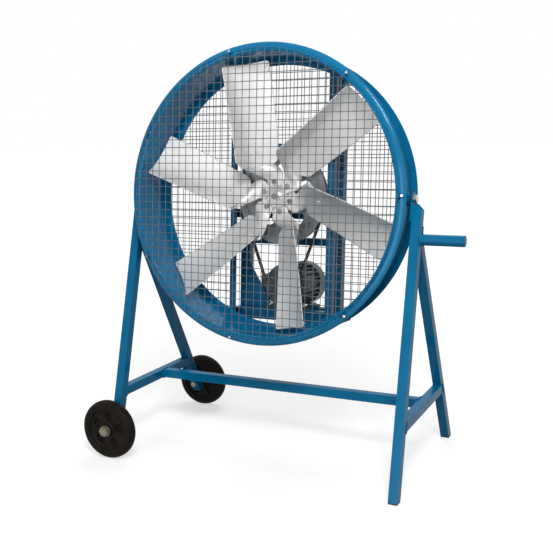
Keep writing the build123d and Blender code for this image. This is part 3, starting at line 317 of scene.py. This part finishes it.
def surface(name, grids, finish, body, sharp=35):
    """One mesh from grids of points. A grid is (points, closes along rows, closes along columns); point
    (i, j) joins (i + 1, j) and (i, j + 1). An array with one more axis holds many grids of one form."""
    points, faces, first = [], [], 0
    for grid, wrap_rows, wrap_columns in grids:
        grid = grid if grid.ndim == 4 else grid[None]
        count, rows, columns = grid.shape[:3]
        row = np.arange(rows if wrap_rows else rows - 1)[:, None]
        column = np.arange(columns if wrap_columns else columns - 1)[None, :]
        next_row, next_column = (row + 1) % rows, (column + 1) % columns
        face = np.stack([row * columns + column, row * columns + next_column,
                         next_row * columns + next_column, next_row * columns + column], -1).reshape(-1, 4)
        face = face[None] + np.arange(count)[:, None, None] * rows * columns + first
        points.append(grid.reshape(-1, 3))
        faces.append(face.reshape(-1, 4))
        first += count * rows * columns
    mesh = bpy.data.meshes.new(name)
    mesh.from_pydata(np.concatenate(points), [], np.concatenate(faces).tolist())
    weld_mesh(mesh)
    return add_piece(name, mesh, finish, body, sharp)


def spot(x, y, height):
    """Point over the tilt axis' own X and Y, at a height above the floor."""
    return np.array((tilt_axis.x + x, tilt_axis.y + y, height))


def middle_of(node):
    """Middle of a CAD piece's box, in the tilt axis' own X and Y and the height above the floor."""
    low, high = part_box(node)
    return (np.array(low) + np.array(high)) / 2 - np.array((tilt_axis.x, tilt_axis.y, 0))


tube_half = 0.015
pivot_level, legs_meet = 0.875, 0.772
front_foot, rear_foot = 0.235, 0.377
front_slope = front_foot / pivot_level
rear_slope = (rear_foot - front_foot + front_slope * legs_meet) / legs_meet
brace_bead, apex_bead, grip_bead, weld_lift = 0.0026, 0.0024, 0.0030, 0.0005
leg_x = middle_of("front_leg_right")[0]
brace_level = middle_of("braces")[2]
cross_y = middle_of("cross_tube")[1]
grip_y, grip_level = middle_of("handle")[1:]
corners = np.array([(-1, -1), (1, -1), (1, 1), (-1, 1)]) * (tube_half + 0.0008)
loops = []
for side in (-1, 1):
    front_y = -front_foot + front_slope * brace_level
    rear_y = rear_foot - rear_slope * brace_level
    for joint_y, slope, facing in ((front_y, front_slope, 1), (rear_y, -rear_slope, -1)):
        face_y = joint_y + facing * tube_half * sqrt(1 + slope * slope)
        loops.append(bead([spot(side * leg_x + c[0], face_y + slope * c[1], brace_level + c[1])
                           for c in corners], brace_bead))
    loops.append(bead([spot(side * (leg_x - tube_half), cross_y + c[0], brace_level + c[1])
                       for c in corners], brace_bead))
    meet_y = -front_foot + front_slope * legs_meet
    back = np.array((0, 1, -front_slope)) / sqrt(1 + front_slope ** 2)
    along = np.array((0, front_slope, 1)) / sqrt(1 + front_slope ** 2)
    middle = spot(side * leg_x, meet_y, legs_meet) + back * tube_half
    cut = tube_half / sin(np.arctan(front_slope) + np.arctan(rear_slope))
    loops.append(bead([middle + np.array((a * (tube_half + weld_lift), 0, 0)) + along * b * cut
                       for a, b in ((-1, -1), (1, -1), (1, 1), (-1, 1))], apex_bead))
grip_weld, grip_steps = 0.0175, 96
around = np.linspace(0, 2 * pi, grip_steps, endpoint=False)
grip_ring = np.stack([np.full(grip_steps, tilt_axis.x + leg_x + tube_half + weld_lift),
                      tilt_axis.y + grip_y + grip_weld * np.cos(around),
                      grip_level + grip_weld * np.sin(around)], -1)
loops.append(bead(grip_ring, grip_bead))
surface("stand_weld_beads", loops, blue_enamel, "stand", 60)

# ---------------------------------------------------------------- wheels
# Solid rubber tyres pressed on black moulded rims with five pockets, turning on steel axles welded
# through the left legs. A washer and a nut, both dull with road dirt, hold each wheel.


def turned(profile, centre, axis, count=96):
    """Profile of (radius, height) pairs carried round an axis: centre + height * axis + radius *
    (cos a * first + sin a * second), where first and second are square to the axis."""
    centre, axis = np.array(centre, float), np.array(axis, float)
    first = np.cross(axis, (0.0, 0.0, 1.0) if abs(axis[2]) < 0.9 else (1.0, 0.0, 0.0))
    first /= np.linalg.norm(first)
    second = np.cross(axis, first)
    profile = np.asarray(profile, float)
    angle = np.linspace(0, 2 * pi, count, endpoint=False)[:, None, None]
    return (centre + profile[None, :, 1:] * axis
            + profile[None, :, :1] * (np.cos(angle) * first + np.sin(angle) * second))


def rounded(corners, radii, steps=5):
    """Closed outline with eased corners: a corner is left and met one radius away, and the curve
    between is (1 - t)^2 start + 2 t (1 - t) corner + t^2 end."""
    corners = np.array(corners, float)
    way = np.roll(corners, -1, 0) - corners
    way /= np.linalg.norm(way, axis=1)[:, None]
    reach = np.broadcast_to(np.array(radii, float), len(corners))[:, None]
    t = np.linspace(0, 1, steps)[None, :, None]
    start, end = (corners - np.roll(way, 1, 0) * reach)[:, None], (corners + way * reach)[:, None]
    return ((1 - t) ** 2 * start + 2 * t * (1 - t) * corners[:, None] + t ** 2 * end).reshape(-1, 2)


tyre_rubber = material("tyre_rubber", (0.0105, 0.0080, 0.0058), (0.0060, 0.0048, 0.0036), 40.0,
                       (0.50, 0.72), 700.0, 0.00012, specular=0.09)
rim_plastic = material("rim_plastic", (0.0100, 0.0076, 0.0056), (0.0055, 0.0045, 0.0035), 25.0,
                       (0.40, 0.58), 500.0, 0.00008, specular=0.10)
dull_zinc = material("dull_zinc", (0.30, 0.27, 0.22), (0.17, 0.15, 0.12), 90.0, (0.34, 0.60), 600.0,
                     0.00005, metallic=0.85)
tyre_edge = rounded([(0.0688, -0.0175), (0.0735, -0.0210), (0.0885, -0.0210), (0.0965, -0.0135),
                     (0.0992, -0.0075), (0.0980, -0.0062), (0.0995, -0.0050), (0.1000, 0.0),
                     (0.0995, 0.0050), (0.0980, 0.0062), (0.0992, 0.0075), (0.0965, 0.0135),
                     (0.0885, 0.0210), (0.0735, 0.0210), (0.0688, 0.0175)],
                    [0.0008, 0.0018, 0.0035, 0.003, 0.0006, 0.0006, 0.0006, 0.002, 0.0006, 0.0006,
                     0.0006, 0.003, 0.0035, 0.0018, 0.0008], 4)
rim_face = np.array([(0.01005, 0.0215), (0.0115, 0.0230), (0.0185, 0.0230), (0.0206, 0.0222),
                     (0.0214, 0.0200), (0.0222, 0.0140), (0.0240, 0.0116), (0.0270, 0.0108)]
                    + [(0.0270 + 0.0013 * step, 0.0108) for step in range(1, 27)]
                    + [(0.0622, 0.0114), (0.0638, 0.0130), (0.0648, 0.0146), (0.0660, 0.0150),
                       (0.0680, 0.0150), (0.0690, 0.0142)])
rim_edge = np.concatenate([rim_face, rim_face[::-1] * (1, -1)])
rim_steps, tyre_steps = 220, 120
pockets, first_pocket, pocket_ring = 5, 0.2, 0.0465
pocket_along, pocket_out = 0.0135, 0.0125
pocket_edge, pocket_crispness, pocket_sink = 0.93, 26, 0.92
for name, outward in (("front", -1), ("rear", 1)):
    hub = joints[f"{name}_wheel_spin"]["pos_m"]
    tyre = surface(f"{name}_tyre", [(turned(tyre_edge, hub, (0, outward, 0), tyre_steps), True, True)],
                   tyre_rubber, f"{name}_wheel", 50)
    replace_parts(tyre, f"{name}_wheel_tyre")
    # Pockets: within a superellipse round each of five centres the face sinks to the thin membrane.
    rim = turned(rim_edge, hub, (0, outward, 0), rim_steps)
    angle = np.linspace(0, 2 * pi, rim_steps, endpoint=False)[:, None]
    turn_off = np.abs((angle - first_pocket) % (2 * pi / pockets) - pi / pockets) * pocket_ring
    out_off = np.abs(rim_edge[None, :, 0] - pocket_ring)
    spread = ((turn_off / pocket_along) ** 4 + (out_off / pocket_out) ** 4) ** 0.25
    sink = 1 / (1 + np.exp((spread - pocket_edge) * pocket_crispness)) * pocket_sink
    rim = rim - sink[..., None] * (rim_edge[None, :, 1:] * np.array((0, outward, 0)))
    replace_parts(surface(f"{name}_rim", [(rim, True, True)], rim_plastic, f"{name}_wheel",
                        50), f"{name}_wheel_rim")
softened("axle_nuts_and_washers", dull_zinc, 0.0010)
softened("wheel_axles", dull_zinc, 0.0006)

# ---------------------------------------------------------------- drum
# Steel strip rolled into a ring, its front edge bent out and rolled back into a round rim and its back
# edge welded to a flat ring round the air inlet. It swings on a bolt and boss at each side.
fan_axis = np.array(joints["impeller_spin"]["axis"], float)
fan_right = np.array((1.0, 0.0, 0.0))
fan_up = np.cross(fan_axis, fan_right)
fan_centre = np.array(joints["impeller_spin"]["pos_m"], float)


def fan(x, y, depth):
    """Point of the drum's own frame: x to the right, y up the drum and depth forward along its axis."""
    x, y, depth = np.broadcast_arrays(x, y, depth)
    return fan_centre + x[..., None] * fan_right + y[..., None] * fan_up + depth[..., None] * fan_axis


def arc(centre, reach, start, stop, steps):
    """Arc in (radius, depth): centre + reach * (cos a, sin a), a running evenly between two angles. With
    two reaches it is part of an ellipse."""
    swing = np.radians(np.linspace(start, stop, steps))
    return np.array(centre) + np.array(reach) * np.stack([np.cos(swing), np.sin(swing)], -1)


# The drum wears the stand's blue enamel, set lighter here: painted light that brightens the rolled rim and
# the shell.
drum_enamel_painted_light = material("drum_enamel_painted_light", (0.0018, 0.180, 0.372), (0.0013, 0.155, 0.325), 6.0, (0.20, 0.32),
                       160.0, 0.00010, coat=0.30, specular=0.03)
# The front edge bends out of the bore and rolls back at its rim, far enough ahead to pass the lugs.
bore, wall, shell_back, shell_front, ring_steps = 0.450, 0.003, -0.0795, 0.0740, 256
bend, bend_radius = (0.456, 0.0765), 0.006
roll, roll_reach = (0.462, 0.0742), np.array((0.018, 0.0083))
shell_edge = np.concatenate([
    [(bore, shell_back), (bore, -0.030), (bore, 0.030), (bore, shell_front)],
    arc(bend, bend_radius, 180, 90, 7), arc(roll, roll_reach, 90, 0, 16),
    arc(roll, roll_reach - wall, 0, 90, 16), arc(bend, bend_radius - wall, 90, 180, 7),
    [(bore + wall, 0.030), (bore + wall, -0.030), (bore + wall, shell_back)]])
shell = surface("drum_ring", [(turned(shell_edge, fan_centre, fan_axis, ring_steps), True, True)],
                drum_enamel_painted_light, "drum", 50)
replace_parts(shell, "drum_shell")
lip_in, lip_out, lip_back = 0.430, 0.470, -0.0825
lip_edge = rounded([(lip_in, lip_back), (lip_in, shell_back), (lip_out, shell_back), (lip_out, lip_back)],
                   0.0011, 4)
lip = surface("inlet_lip", [(turned(lip_edge, fan_centre, fan_axis, ring_steps), True, True)], blue_enamel,
              "drum", 50)
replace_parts(lip, "inlet_ring")
# Beads: one round the back ring, one down the strip's own joint below, one round each pivot boss.
ring_seam, skin, boss_seam, seam_steps = 0.4533, 0.4532, 0.0224, 40
circle = np.linspace(0, 2 * pi, 240, endpoint=False)
seams = [bead(fan(ring_seam * np.cos(circle), ring_seam * np.sin(circle), -0.0790), 0.0022, pitch=0.006)]
seams.append(bead(fan(np.zeros(seam_steps), np.full(seam_steps, -skin),
                      np.linspace(-0.078, 0.077, seam_steps)), 0.0016, False))
boss_turn = np.linspace(0, 2 * pi, 64, endpoint=False)
boss_y, boss_depth = boss_seam * np.cos(boss_turn), boss_seam * np.sin(boss_turn)
for side in (-1, 1):
    seams.append(bead(fan(side * np.sqrt(skin ** 2 - boss_y ** 2), boss_y, boss_depth), 0.0026))
surface("drum_weld_beads", seams, blue_enamel, "drum", 60)
bright_zinc = material("bright_zinc", (0.62, 0.62, 0.60), (0.44, 0.44, 0.43), 120.0, (0.22, 0.42), 900.0,
                       0.00003, metallic=1.0)
softened("pivot_bosses", blue_enamel, 0.0012)
softened("pivot_bolts", bright_zinc, 0.0010)
friction_fibre = material("friction_fibre", (0.020, 0.023, 0.027), (0.012, 0.014, 0.017), 60.0,
                          (0.5, 0.7), 700.0, 0.00005, specular=0.2)
softened("friction_washers", friction_fibre, 0.0005)

# Seven clips bent from steel strip: a foot that hugs the rolled edge, a riser and a lip behind the
# guard's rim wire. A small zinc screw holds each foot.


def hex_head(place, way, radius, height):
    """Hexagon head with an eased top: its profile carried round the screw's axis in six steps."""
    ease = 0.12 * radius
    return turned([(0, 0), (radius, 0), (radius, height - ease), (radius - ease, height), (0, height)],
                  place, way, 6), True, False


clip_count, clip_wall, clip_bend = 7, 0.0025, 0.0025
clip_path = np.concatenate([
    [(0.4552, 0.10025), (0.4575, 0.10025)], arc((0.4597, 0.09775), clip_bend, 90, 0, 6),
    arc((0.4647, 0.08620), clip_bend, 180, 265, 6), arc(roll, roll_reach + clip_wall / 2, 80, 50, 8)])
clip_half = np.interp(np.arange(len(clip_path)), (0, 1, len(clip_path) - 3, len(clip_path) - 1),
                      (0.0068, 0.0080, 0.0080, 0.0058))
clip_turn = np.radians(1.0 + np.arange(clip_count) * 360 / clip_count)
radial = np.cos(clip_turn)[:, None] * fan_right + np.sin(clip_turn)[:, None] * fan_up
sideways = np.cos(clip_turn)[:, None] * fan_up - np.sin(clip_turn)[:, None] * fan_right
strip = (fan_centre + clip_path[None, :, None, :1] * radial[:, None, None]
         + clip_path[None, :, None, 1:] * fan_axis
         + (clip_half[:, None] * np.linspace(-1, 1, 5))[None, :, :, None] * sideways[:, None, None])
clips = surface("rim_clips", [(strip, False, False)], blue_enamel, "drum", 60)
strip_wall = clips.modifiers.new("strip_thickness", "SOLIDIFY")
strip_wall.thickness = clip_wall
strip_wall.offset = 0
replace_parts(clips, "guard_clips")
lean_out, head_radius, head_height = radians(81), 0.0050, 0.0040
screw_radius, screw_depth = arc(roll, roll_reach + clip_wall, 72, 72, 1)[0]
screws = [hex_head(fan_centre + screw_radius * way + screw_depth * fan_axis,
                   way * cos(lean_out) + fan_axis * sin(lean_out), head_radius, head_height)
          for way in radial]
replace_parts(surface("clip_screws", screws, bright_zinc, "drum", 35), "guard_bolts")

# ---------------------------------------------------------------- guards
# Welded mesh of round galvanised wire on a one inch grid. The front guard ends on a round rim wire
# held off the drum's rim by seven clips; behind, flat bands clamp three panels round the drive.
# The galvanised wire is set dark and tinted blue: painted shade on the thin wires and painted reflection of
# the blue drum.
guard_wire = material("guard_wire", (0.125, 0.152, 0.178), (0.085, 0.105, 0.125), 60.0, (0.38, 0.60),
                      1500.0, 0.00002, metallic=0.35)
# The rear panels take the same wire set darker still: painted shade from the drum round them.
shaded_wire = material("shaded_wire", (0.100, 0.112, 0.125), (0.065, 0.075, 0.085), 60.0, (0.42, 0.62),
                       1500.0, 0.00002, metallic=0.35)
pitch, wire_radius = 0.0254, 0.00125


def bars(starts, ends, radius, sides=8):
    """Round wires between pairs of points: a circle round each axis at both ends, closed by a point."""
    run = ends - starts
    run /= np.linalg.norm(run, axis=1)[:, None]
    first = np.cross(run, np.array((0.35, 0.52, 0.78)))
    first /= np.linalg.norm(first, axis=1)[:, None]
    second = np.cross(run, first)
    angle = np.linspace(0, 2 * pi, sides, endpoint=False)[None, :, None]
    ring = radius * (np.cos(angle) * first[:, None] + np.sin(angle) * second[:, None])
    return np.stack([starts[:, None] + 0 * ring, starts[:, None] + ring, ends[:, None] + ring,
                     ends[:, None] + 0 * ring], 1)


def mesh_bars(lines, low, high, depth, upright):
    """Wires of one direction: line by line, from the low limit to the high one, at one depth."""
    keep = high - low > pitch / 2
    lines, low, high = lines[keep], low[keep], high[keep]
    if upright:
        return bars(fan(lines, low, depth), fan(lines, high, depth), wire_radius)
    return bars(fan(low, lines, depth), fan(high, lines, depth), wire_radius)


guard_reach, rim_wire_radius, rim_wire_depth = 0.4575, 0.0025, 0.104
level_depth, upright_depth = 0.10775, 0.11020
lines = np.arange(-17, 18) * pitch
half = np.sqrt(guard_reach ** 2 - (np.abs(lines) + 2 * wire_radius) ** 2)
rim_turn = np.linspace(0, 2 * pi, ring_steps, endpoint=False)[:, None]
rim_section = np.linspace(0, 2 * pi, 10, endpoint=False)[None, :]
rim_reach = guard_reach + rim_wire_radius * np.cos(rim_section)
rim_wire = fan(rim_reach * np.cos(rim_turn), rim_reach * np.sin(rim_turn),
               rim_wire_depth + rim_wire_radius * np.sin(rim_section) + 0 * rim_turn)
front_guard = surface("front_mesh", [(mesh_bars(lines, -half, half, level_depth, False), False, True),
                                     (mesh_bars(lines, -half, half, upright_depth, True), False, True)],
                      guard_wire, "drum", 50)
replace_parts(front_guard, "front_guard")
surface("guard_rim_wire", [(rim_wire, True, True)], blue_enamel, "drum", 50)


rear_reach, rear_level_depth, rear_upright_depth = 0.462, -0.08375, -0.08620
band_in, band_out, band_front, band_back = 0.4335, 0.4595, -0.0875, -0.0905
drive_half, top_half, top_low = 0.1925, 0.1625, 0.1775


def rear_mesh(name, node, x_low, x_high, y_low, band_ends):
    """One rear panel: the grid's wires between its limits and inside the rear circle, and its band, an
    arc of flat bar whose ends stop at the angles given for its inner and outer edge."""
    grid = np.arange(-18, 19) * pitch
    reach = np.sqrt(np.clip(rear_reach ** 2 - (np.abs(grid) + wire_radius) ** 2, 0, None))
    in_level = grid > y_low + 2 * wire_radius
    in_standing = (grid > x_low + 2 * wire_radius) & (grid < x_high - 2 * wire_radius)
    across = mesh_bars(grid[in_level], np.maximum(x_low, -reach[in_level]),
                       np.minimum(x_high, reach[in_level]), rear_level_depth, False)
    along = mesh_bars(grid[in_standing], np.maximum(y_low, -reach[in_standing]), reach[in_standing],
                      rear_upright_depth, True)
    edge = rounded([(band_in, band_front), (band_out, band_front), (band_out, band_back),
                    (band_in, band_back)], 0.0008, 3)
    share = (edge[:, 0] - band_in) / (band_out - band_in)
    middle, inner_half, outer_half = band_ends
    swing = np.linspace(-1, 1, 90)[:, None]
    angle = middle + swing * (inner_half + (outer_half - inner_half) * share[None, :])
    band = fan(edge[None, :, 0] * np.cos(angle), edge[None, :, 0] * np.sin(angle),
               edge[None, :, 1] + 0 * angle)
    caps = [np.stack([end, np.broadcast_to(end.mean(0), end.shape)]) for end in (band[0], band[-1])]
    piece = surface(name, [(grid_part, False, True) for grid_part in (across, along, band, *caps)],
                    shaded_wire, "drum", 50)
    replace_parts(piece, node)


side_ends = [np.arccos(drive_half / reach) for reach in (band_in, band_out)]
top_ends = [np.arcsin(top_half / reach) for reach in (band_in, band_out)]
rear_mesh("rear_mesh_left", "rear_guard_left", -rear_reach, -drive_half, -rear_reach, (pi, *side_ends))
rear_mesh("rear_mesh_right", "rear_guard_right", drive_half, rear_reach, -rear_reach, (0, *side_ends))
rear_mesh("rear_mesh_top", "rear_guard_top", -top_half, top_half, top_low, (pi / 2, *top_ends))

# ---------------------------------------------------------------- rear box frame
# Angles up the drum's back and square tubes behind them, tied front to back, with rails across that
# carry the bearings, the gusset and the motor. Cut and welded like the stand in the same blue, set darker
# here as painted shade from the drum in front of it.
frame_enamel_painted_shade = material("frame_enamel_painted_shade", (0.003, 0.100, 0.215), (0.002, 0.080, 0.175), 6.0, (0.30, 0.42),
                        160.0, 0.00010, coat=0.10, specular=0.15)
for node in ("front_uprights", "rear_uprights", "frame_ties", "top_rail", "cross_rail", "bearing_beams",
             "motor_rails", "gusset"):
    softened(node, frame_enamel_painted_shade, 0.0008 if node in ("top_rail", "gusset") else 0.0020)

# ---------------------------------------------------------------- bearings
# Two cast pillow blocks with ball bearing inserts, bolted down on the beams, carry the ground shaft.
bearing_paint = material("bearing_paint", (0.030, 0.085, 0.060), (0.020, 0.060, 0.044), 30.0, (0.35, 0.55),
                         320.0, 0.00030, coat=0.15)
ground_steel = material("ground_steel", (0.34, 0.34, 0.34), (0.20, 0.20, 0.21), 80.0, (0.20, 0.40), 500.0,
                        0.00002, metallic=1.0)
softened("pillow_blocks", bearing_paint, 0.0020)
softened("bearing_inserts", ground_steel, 0.0008)
softened("bearing_bolts", bright_zinc, 0.0008)
softened("fan_shaft", ground_steel, 0.0008)

# ---------------------------------------------------------------- impeller
# Six blades of aluminium sheet, pressed to a shallow trough with one soft crease that runs from the
# hub to the leading side of the tip, bolted to steel arms on a clamped hub.
blade_sheet = material("blade_sheet", (0.86, 0.84, 0.82), (0.77, 0.755, 0.74), 9.0, (0.34, 0.48), 220.0,
                       0.00003, metallic=0.32, stretch=(0.05, 1, 1), specular=0.3)
steel_arm = material("steel_arm", (0.80, 0.78, 0.76), (0.62, 0.61, 0.60), 25.0, (0.34, 0.52), 400.0,
                     0.00004, metallic=0.35)
worn_bolt = material("worn_bolt", (0.420, 0.410, 0.400), (0.110, 0.110, 0.112), 45.0, (0.30, 0.50), 800.0,
                     0.00003, metallic=0.7)
blade_root, shoulder, blade_tip = 0.105, 0.126, 0.434
root_half, full_half, sheet_wall = 0.060, 0.0775, 0.0025
trough, crease_rise, crease_width = 0.011, 0.20, 0.0050
blade_rows = np.concatenate([blade_root + (shoulder - blade_root) * np.linspace(0, 1, 14) ** 1.5,
                             np.linspace(0.134, 0.424, 40), blade_tip - 0.009 * np.linspace(0.9, 0, 10) ** 2])
blade_columns = np.sin(np.linspace(-pi / 2, pi / 2, 41)) * 0.35 + np.linspace(-1, 1, 41) * 0.65


def blade_half(radius):
    """Half chord: it widens from the root to the shoulder and stays, with a round corner at root and
    tip: corner * (1 - sqrt(1 - t^2)) comes off, t running from 0 to 1 over the corner's radius."""
    root_corner, tip_corner = 0.016, 0.008
    half = np.interp(radius, (blade_root, shoulder), (root_half, full_half))
    root = np.clip((blade_root + root_corner - radius) / root_corner, 0, 1)
    tip = np.clip((radius - blade_tip + tip_corner) / tip_corner, 0, 1)
    return half - root_corner * (1 - np.sqrt(1 - root ** 2)) - tip_corner * (1 - np.sqrt(1 - tip ** 2))


def blade_line(radius):
    """Sweep, depth and pitch of the blade's middle line. The share is 0 at the tip and 1 at 185 mm: the
    line moves round by 26 mm per share and back by a sine of it, and the pitch grows by 12.4 degrees."""
    inner, most_sweep, tip_depth, most_dip, dip_bend, tip_pitch, more_pitch = \
        0.185, 0.026, 0.020, 0.036, 1.19, 27.6, 12.4
    share = (blade_tip - radius) / (blade_tip - inner)
    depth = tip_depth - most_dip * np.sin(dip_bend * share)
    return most_sweep * share, depth, np.radians(tip_pitch + more_pitch * share)


def blade_ways(number):
    """Directions out along a blade and round the hub from it."""
    first_blade, blade_count = 101.7, 6
    angle = radians(first_blade - 360 / blade_count * number)
    return fan_right * cos(angle) + fan_up * sin(angle), fan_up * cos(angle) - fan_right * sin(angle)


def pitched(around, pitch):
    """Directions across the chord and off the face: around and the axis turned by the pitch."""
    turn_cos, turn_sin = np.cos(pitch)[..., None], np.sin(pitch)[..., None]
    return turn_cos * around + turn_sin * fan_axis, turn_cos * fan_axis - turn_sin * around


for number in range(6):
    outward, around = blade_ways(number)
    radius = blade_rows[:, None] + 0 * blade_columns[None, :]
    sweep, depth, pitch_there = blade_line(radius)
    across, face = pitched(around, pitch_there)
    chord = blade_half(blade_rows)[:, None] * blade_columns[None, :]
    past_crease = (chord - np.interp(radius, (0.137, blade_tip), (0.020, 0.052))) / crease_width
    lift = -trough * (1 - (chord / full_half) ** 2)
    lift = lift + crease_rise * crease_width * np.logaddexp(0, past_crease)
    points = (fan_centre + radius[..., None] * outward + sweep[..., None] * around
              + depth[..., None] * fan_axis + chord[..., None] * across + lift[..., None] * face)
    rows, columns = radius.shape
    corner = (np.arange(rows - 1)[:, None] * columns + np.arange(columns - 1)[None, :]).reshape(-1)
    faces = np.stack([corner, corner + 1, corner + columns + 1, corner + columns], -1)
    sheet = bpy.data.meshes.new(f"blade_sheet_{number + 1}")
    sheet.from_pydata(points.reshape(-1, 3), [], faces.tolist())
    blade = add_piece(f"blade_sheet_{number + 1}", sheet, blade_sheet, "impeller", 60)
    blade_wall = blade.modifiers.new("sheet_thickness", "SOLIDIFY")
    blade_wall.thickness = sheet_wall
    blade_wall.offset = 0
    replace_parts(blade, f"blade_{number + 1}")

# Arms cut from 6 mm plate: a pad on the hub, a wing that widens and twists up to the blade, and a
# tongue under it. Two bolts show on each, one on the pad and one through the blade.
pad_end, twist_end, pad_depth, plate_wall, under_blade = 0.060, 0.120, -0.057, 0.006, 0.01525
pad_bolt_reach, blade_bolt_reach, head_drop = 0.050, 0.158, 0.0095
pad_head, blade_head = (0.0093, 0.0070), (0.0068, 0.0050)
arm_rows = np.concatenate([np.linspace(0.030, 0.058, 6), np.linspace(pad_end, 0.180, 49)])
turn_share = np.clip((arm_rows - pad_end) / (twist_end - pad_end), 0, 1)
twist = turn_share * turn_share * (3 - 2 * turn_share)
arm_half = np.interp(arm_rows, (0.030, 0.060, 0.115, 0.124, 0.150, 0.172, 0.178, 0.180),
                     (0.0150, 0.0290, 0.0590, 0.0570, 0.0320, 0.0300, 0.0250, 0.0180))
sweep, depth, pitch_there = blade_line(np.maximum(arm_rows, twist_end))
arms, pad_bolts, blade_heads = [], [], []
for number in range(6):
    outward, around = blade_ways(number)
    across, face = pitched(around, pitch_there * twist)
    arm_depth = pad_depth + (depth - pad_depth) * twist
    middle = (fan_centre + arm_rows[:, None] * outward + (sweep * twist)[:, None] * around
              + arm_depth[:, None] * fan_axis - (under_blade * twist)[:, None] * face)
    chord = arm_half[:, None] * np.linspace(-1, 1, 13)
    arms.append((middle[:, None] + chord[..., None] * across[:, None], False, False))
    pad_bolts.append(hex_head(fan_centre + pad_bolt_reach * outward + (pad_depth + plate_wall / 2) * fan_axis,
                              fan_axis, *pad_head))
    bolt_sweep, bolt_depth, bolt_pitch = blade_line(np.array(blade_bolt_reach))
    face = pitched(around, bolt_pitch)[1]
    blade_heads.append(hex_head(fan_centre + blade_bolt_reach * outward + bolt_sweep * around
                                + bolt_depth * fan_axis - head_drop * face, face, *blade_head))
arm_plates = surface("arm_plates", arms, steel_arm, "impeller", 60)
plate = arm_plates.modifiers.new("plate_thickness", "SOLIDIFY")
plate.thickness = plate_wall
plate.offset = 0
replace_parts(arm_plates, "blade_arms")
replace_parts(surface("pad_bolts", pad_bolts, worn_bolt, "impeller", 35), "blade_bolts")
surface("blade_bolt_heads", blade_heads, steel_arm, "impeller", 35)
softened("fan_hub", steel_arm, 0.0012)
softened("shaft_nut", bright_zinc, 0.0012)

# ---------------------------------------------------------------- drive
# Cast iron sheave with windows in its web, a small pulley on the motor shaft, and a black V belt.
oiled_iron = material("oiled_iron", (0.270, 0.275, 0.280), (0.190, 0.195, 0.200), 35.0, (0.30, 0.52),
                      350.0, 0.00008, metallic=0.7)
belt_rubber = material("belt_rubber", (0.014, 0.014, 0.014), (0.009, 0.009, 0.009), 60.0, (0.5, 0.7), 900.0,
                       0.00008)
dull_iron = material("dull_iron", (0.052, 0.058, 0.060), (0.034, 0.038, 0.040), 35.0, (0.40, 0.60), 350.0,
                     0.00008, metallic=0.5)
softened("sheave", oiled_iron, 0.0010)
softened("motor_pulley", dull_iron, 0.0008)
softened("belt", belt_rubber, 0.0006)

# ---------------------------------------------------------------- motor
# Totally enclosed motor: finned iron housing on feet, end shields, a pressed cowl over its own
# cooling fan and a terminal box with a cable gland, all under one dark green grey paint.
motor_paint = material("motor_paint", (0.052, 0.072, 0.072), (0.036, 0.050, 0.052), 20.0, (0.38, 0.58),
                       260.0, 0.00025, coat=0.1, specular=0.25)
for node, width in (("motor_housing", 0.0007), ("motor_shields", 0.0012), ("motor_cowl", 0.0005),
                    ("terminal_box", 0.0015)):
    softened(node, motor_paint, width)
softened("motor_shaft", ground_steel, 0.0006)
softened("motor_bolts", bright_zinc, 0.0008)
softened("cable_gland", black_plastic, 0.0006)
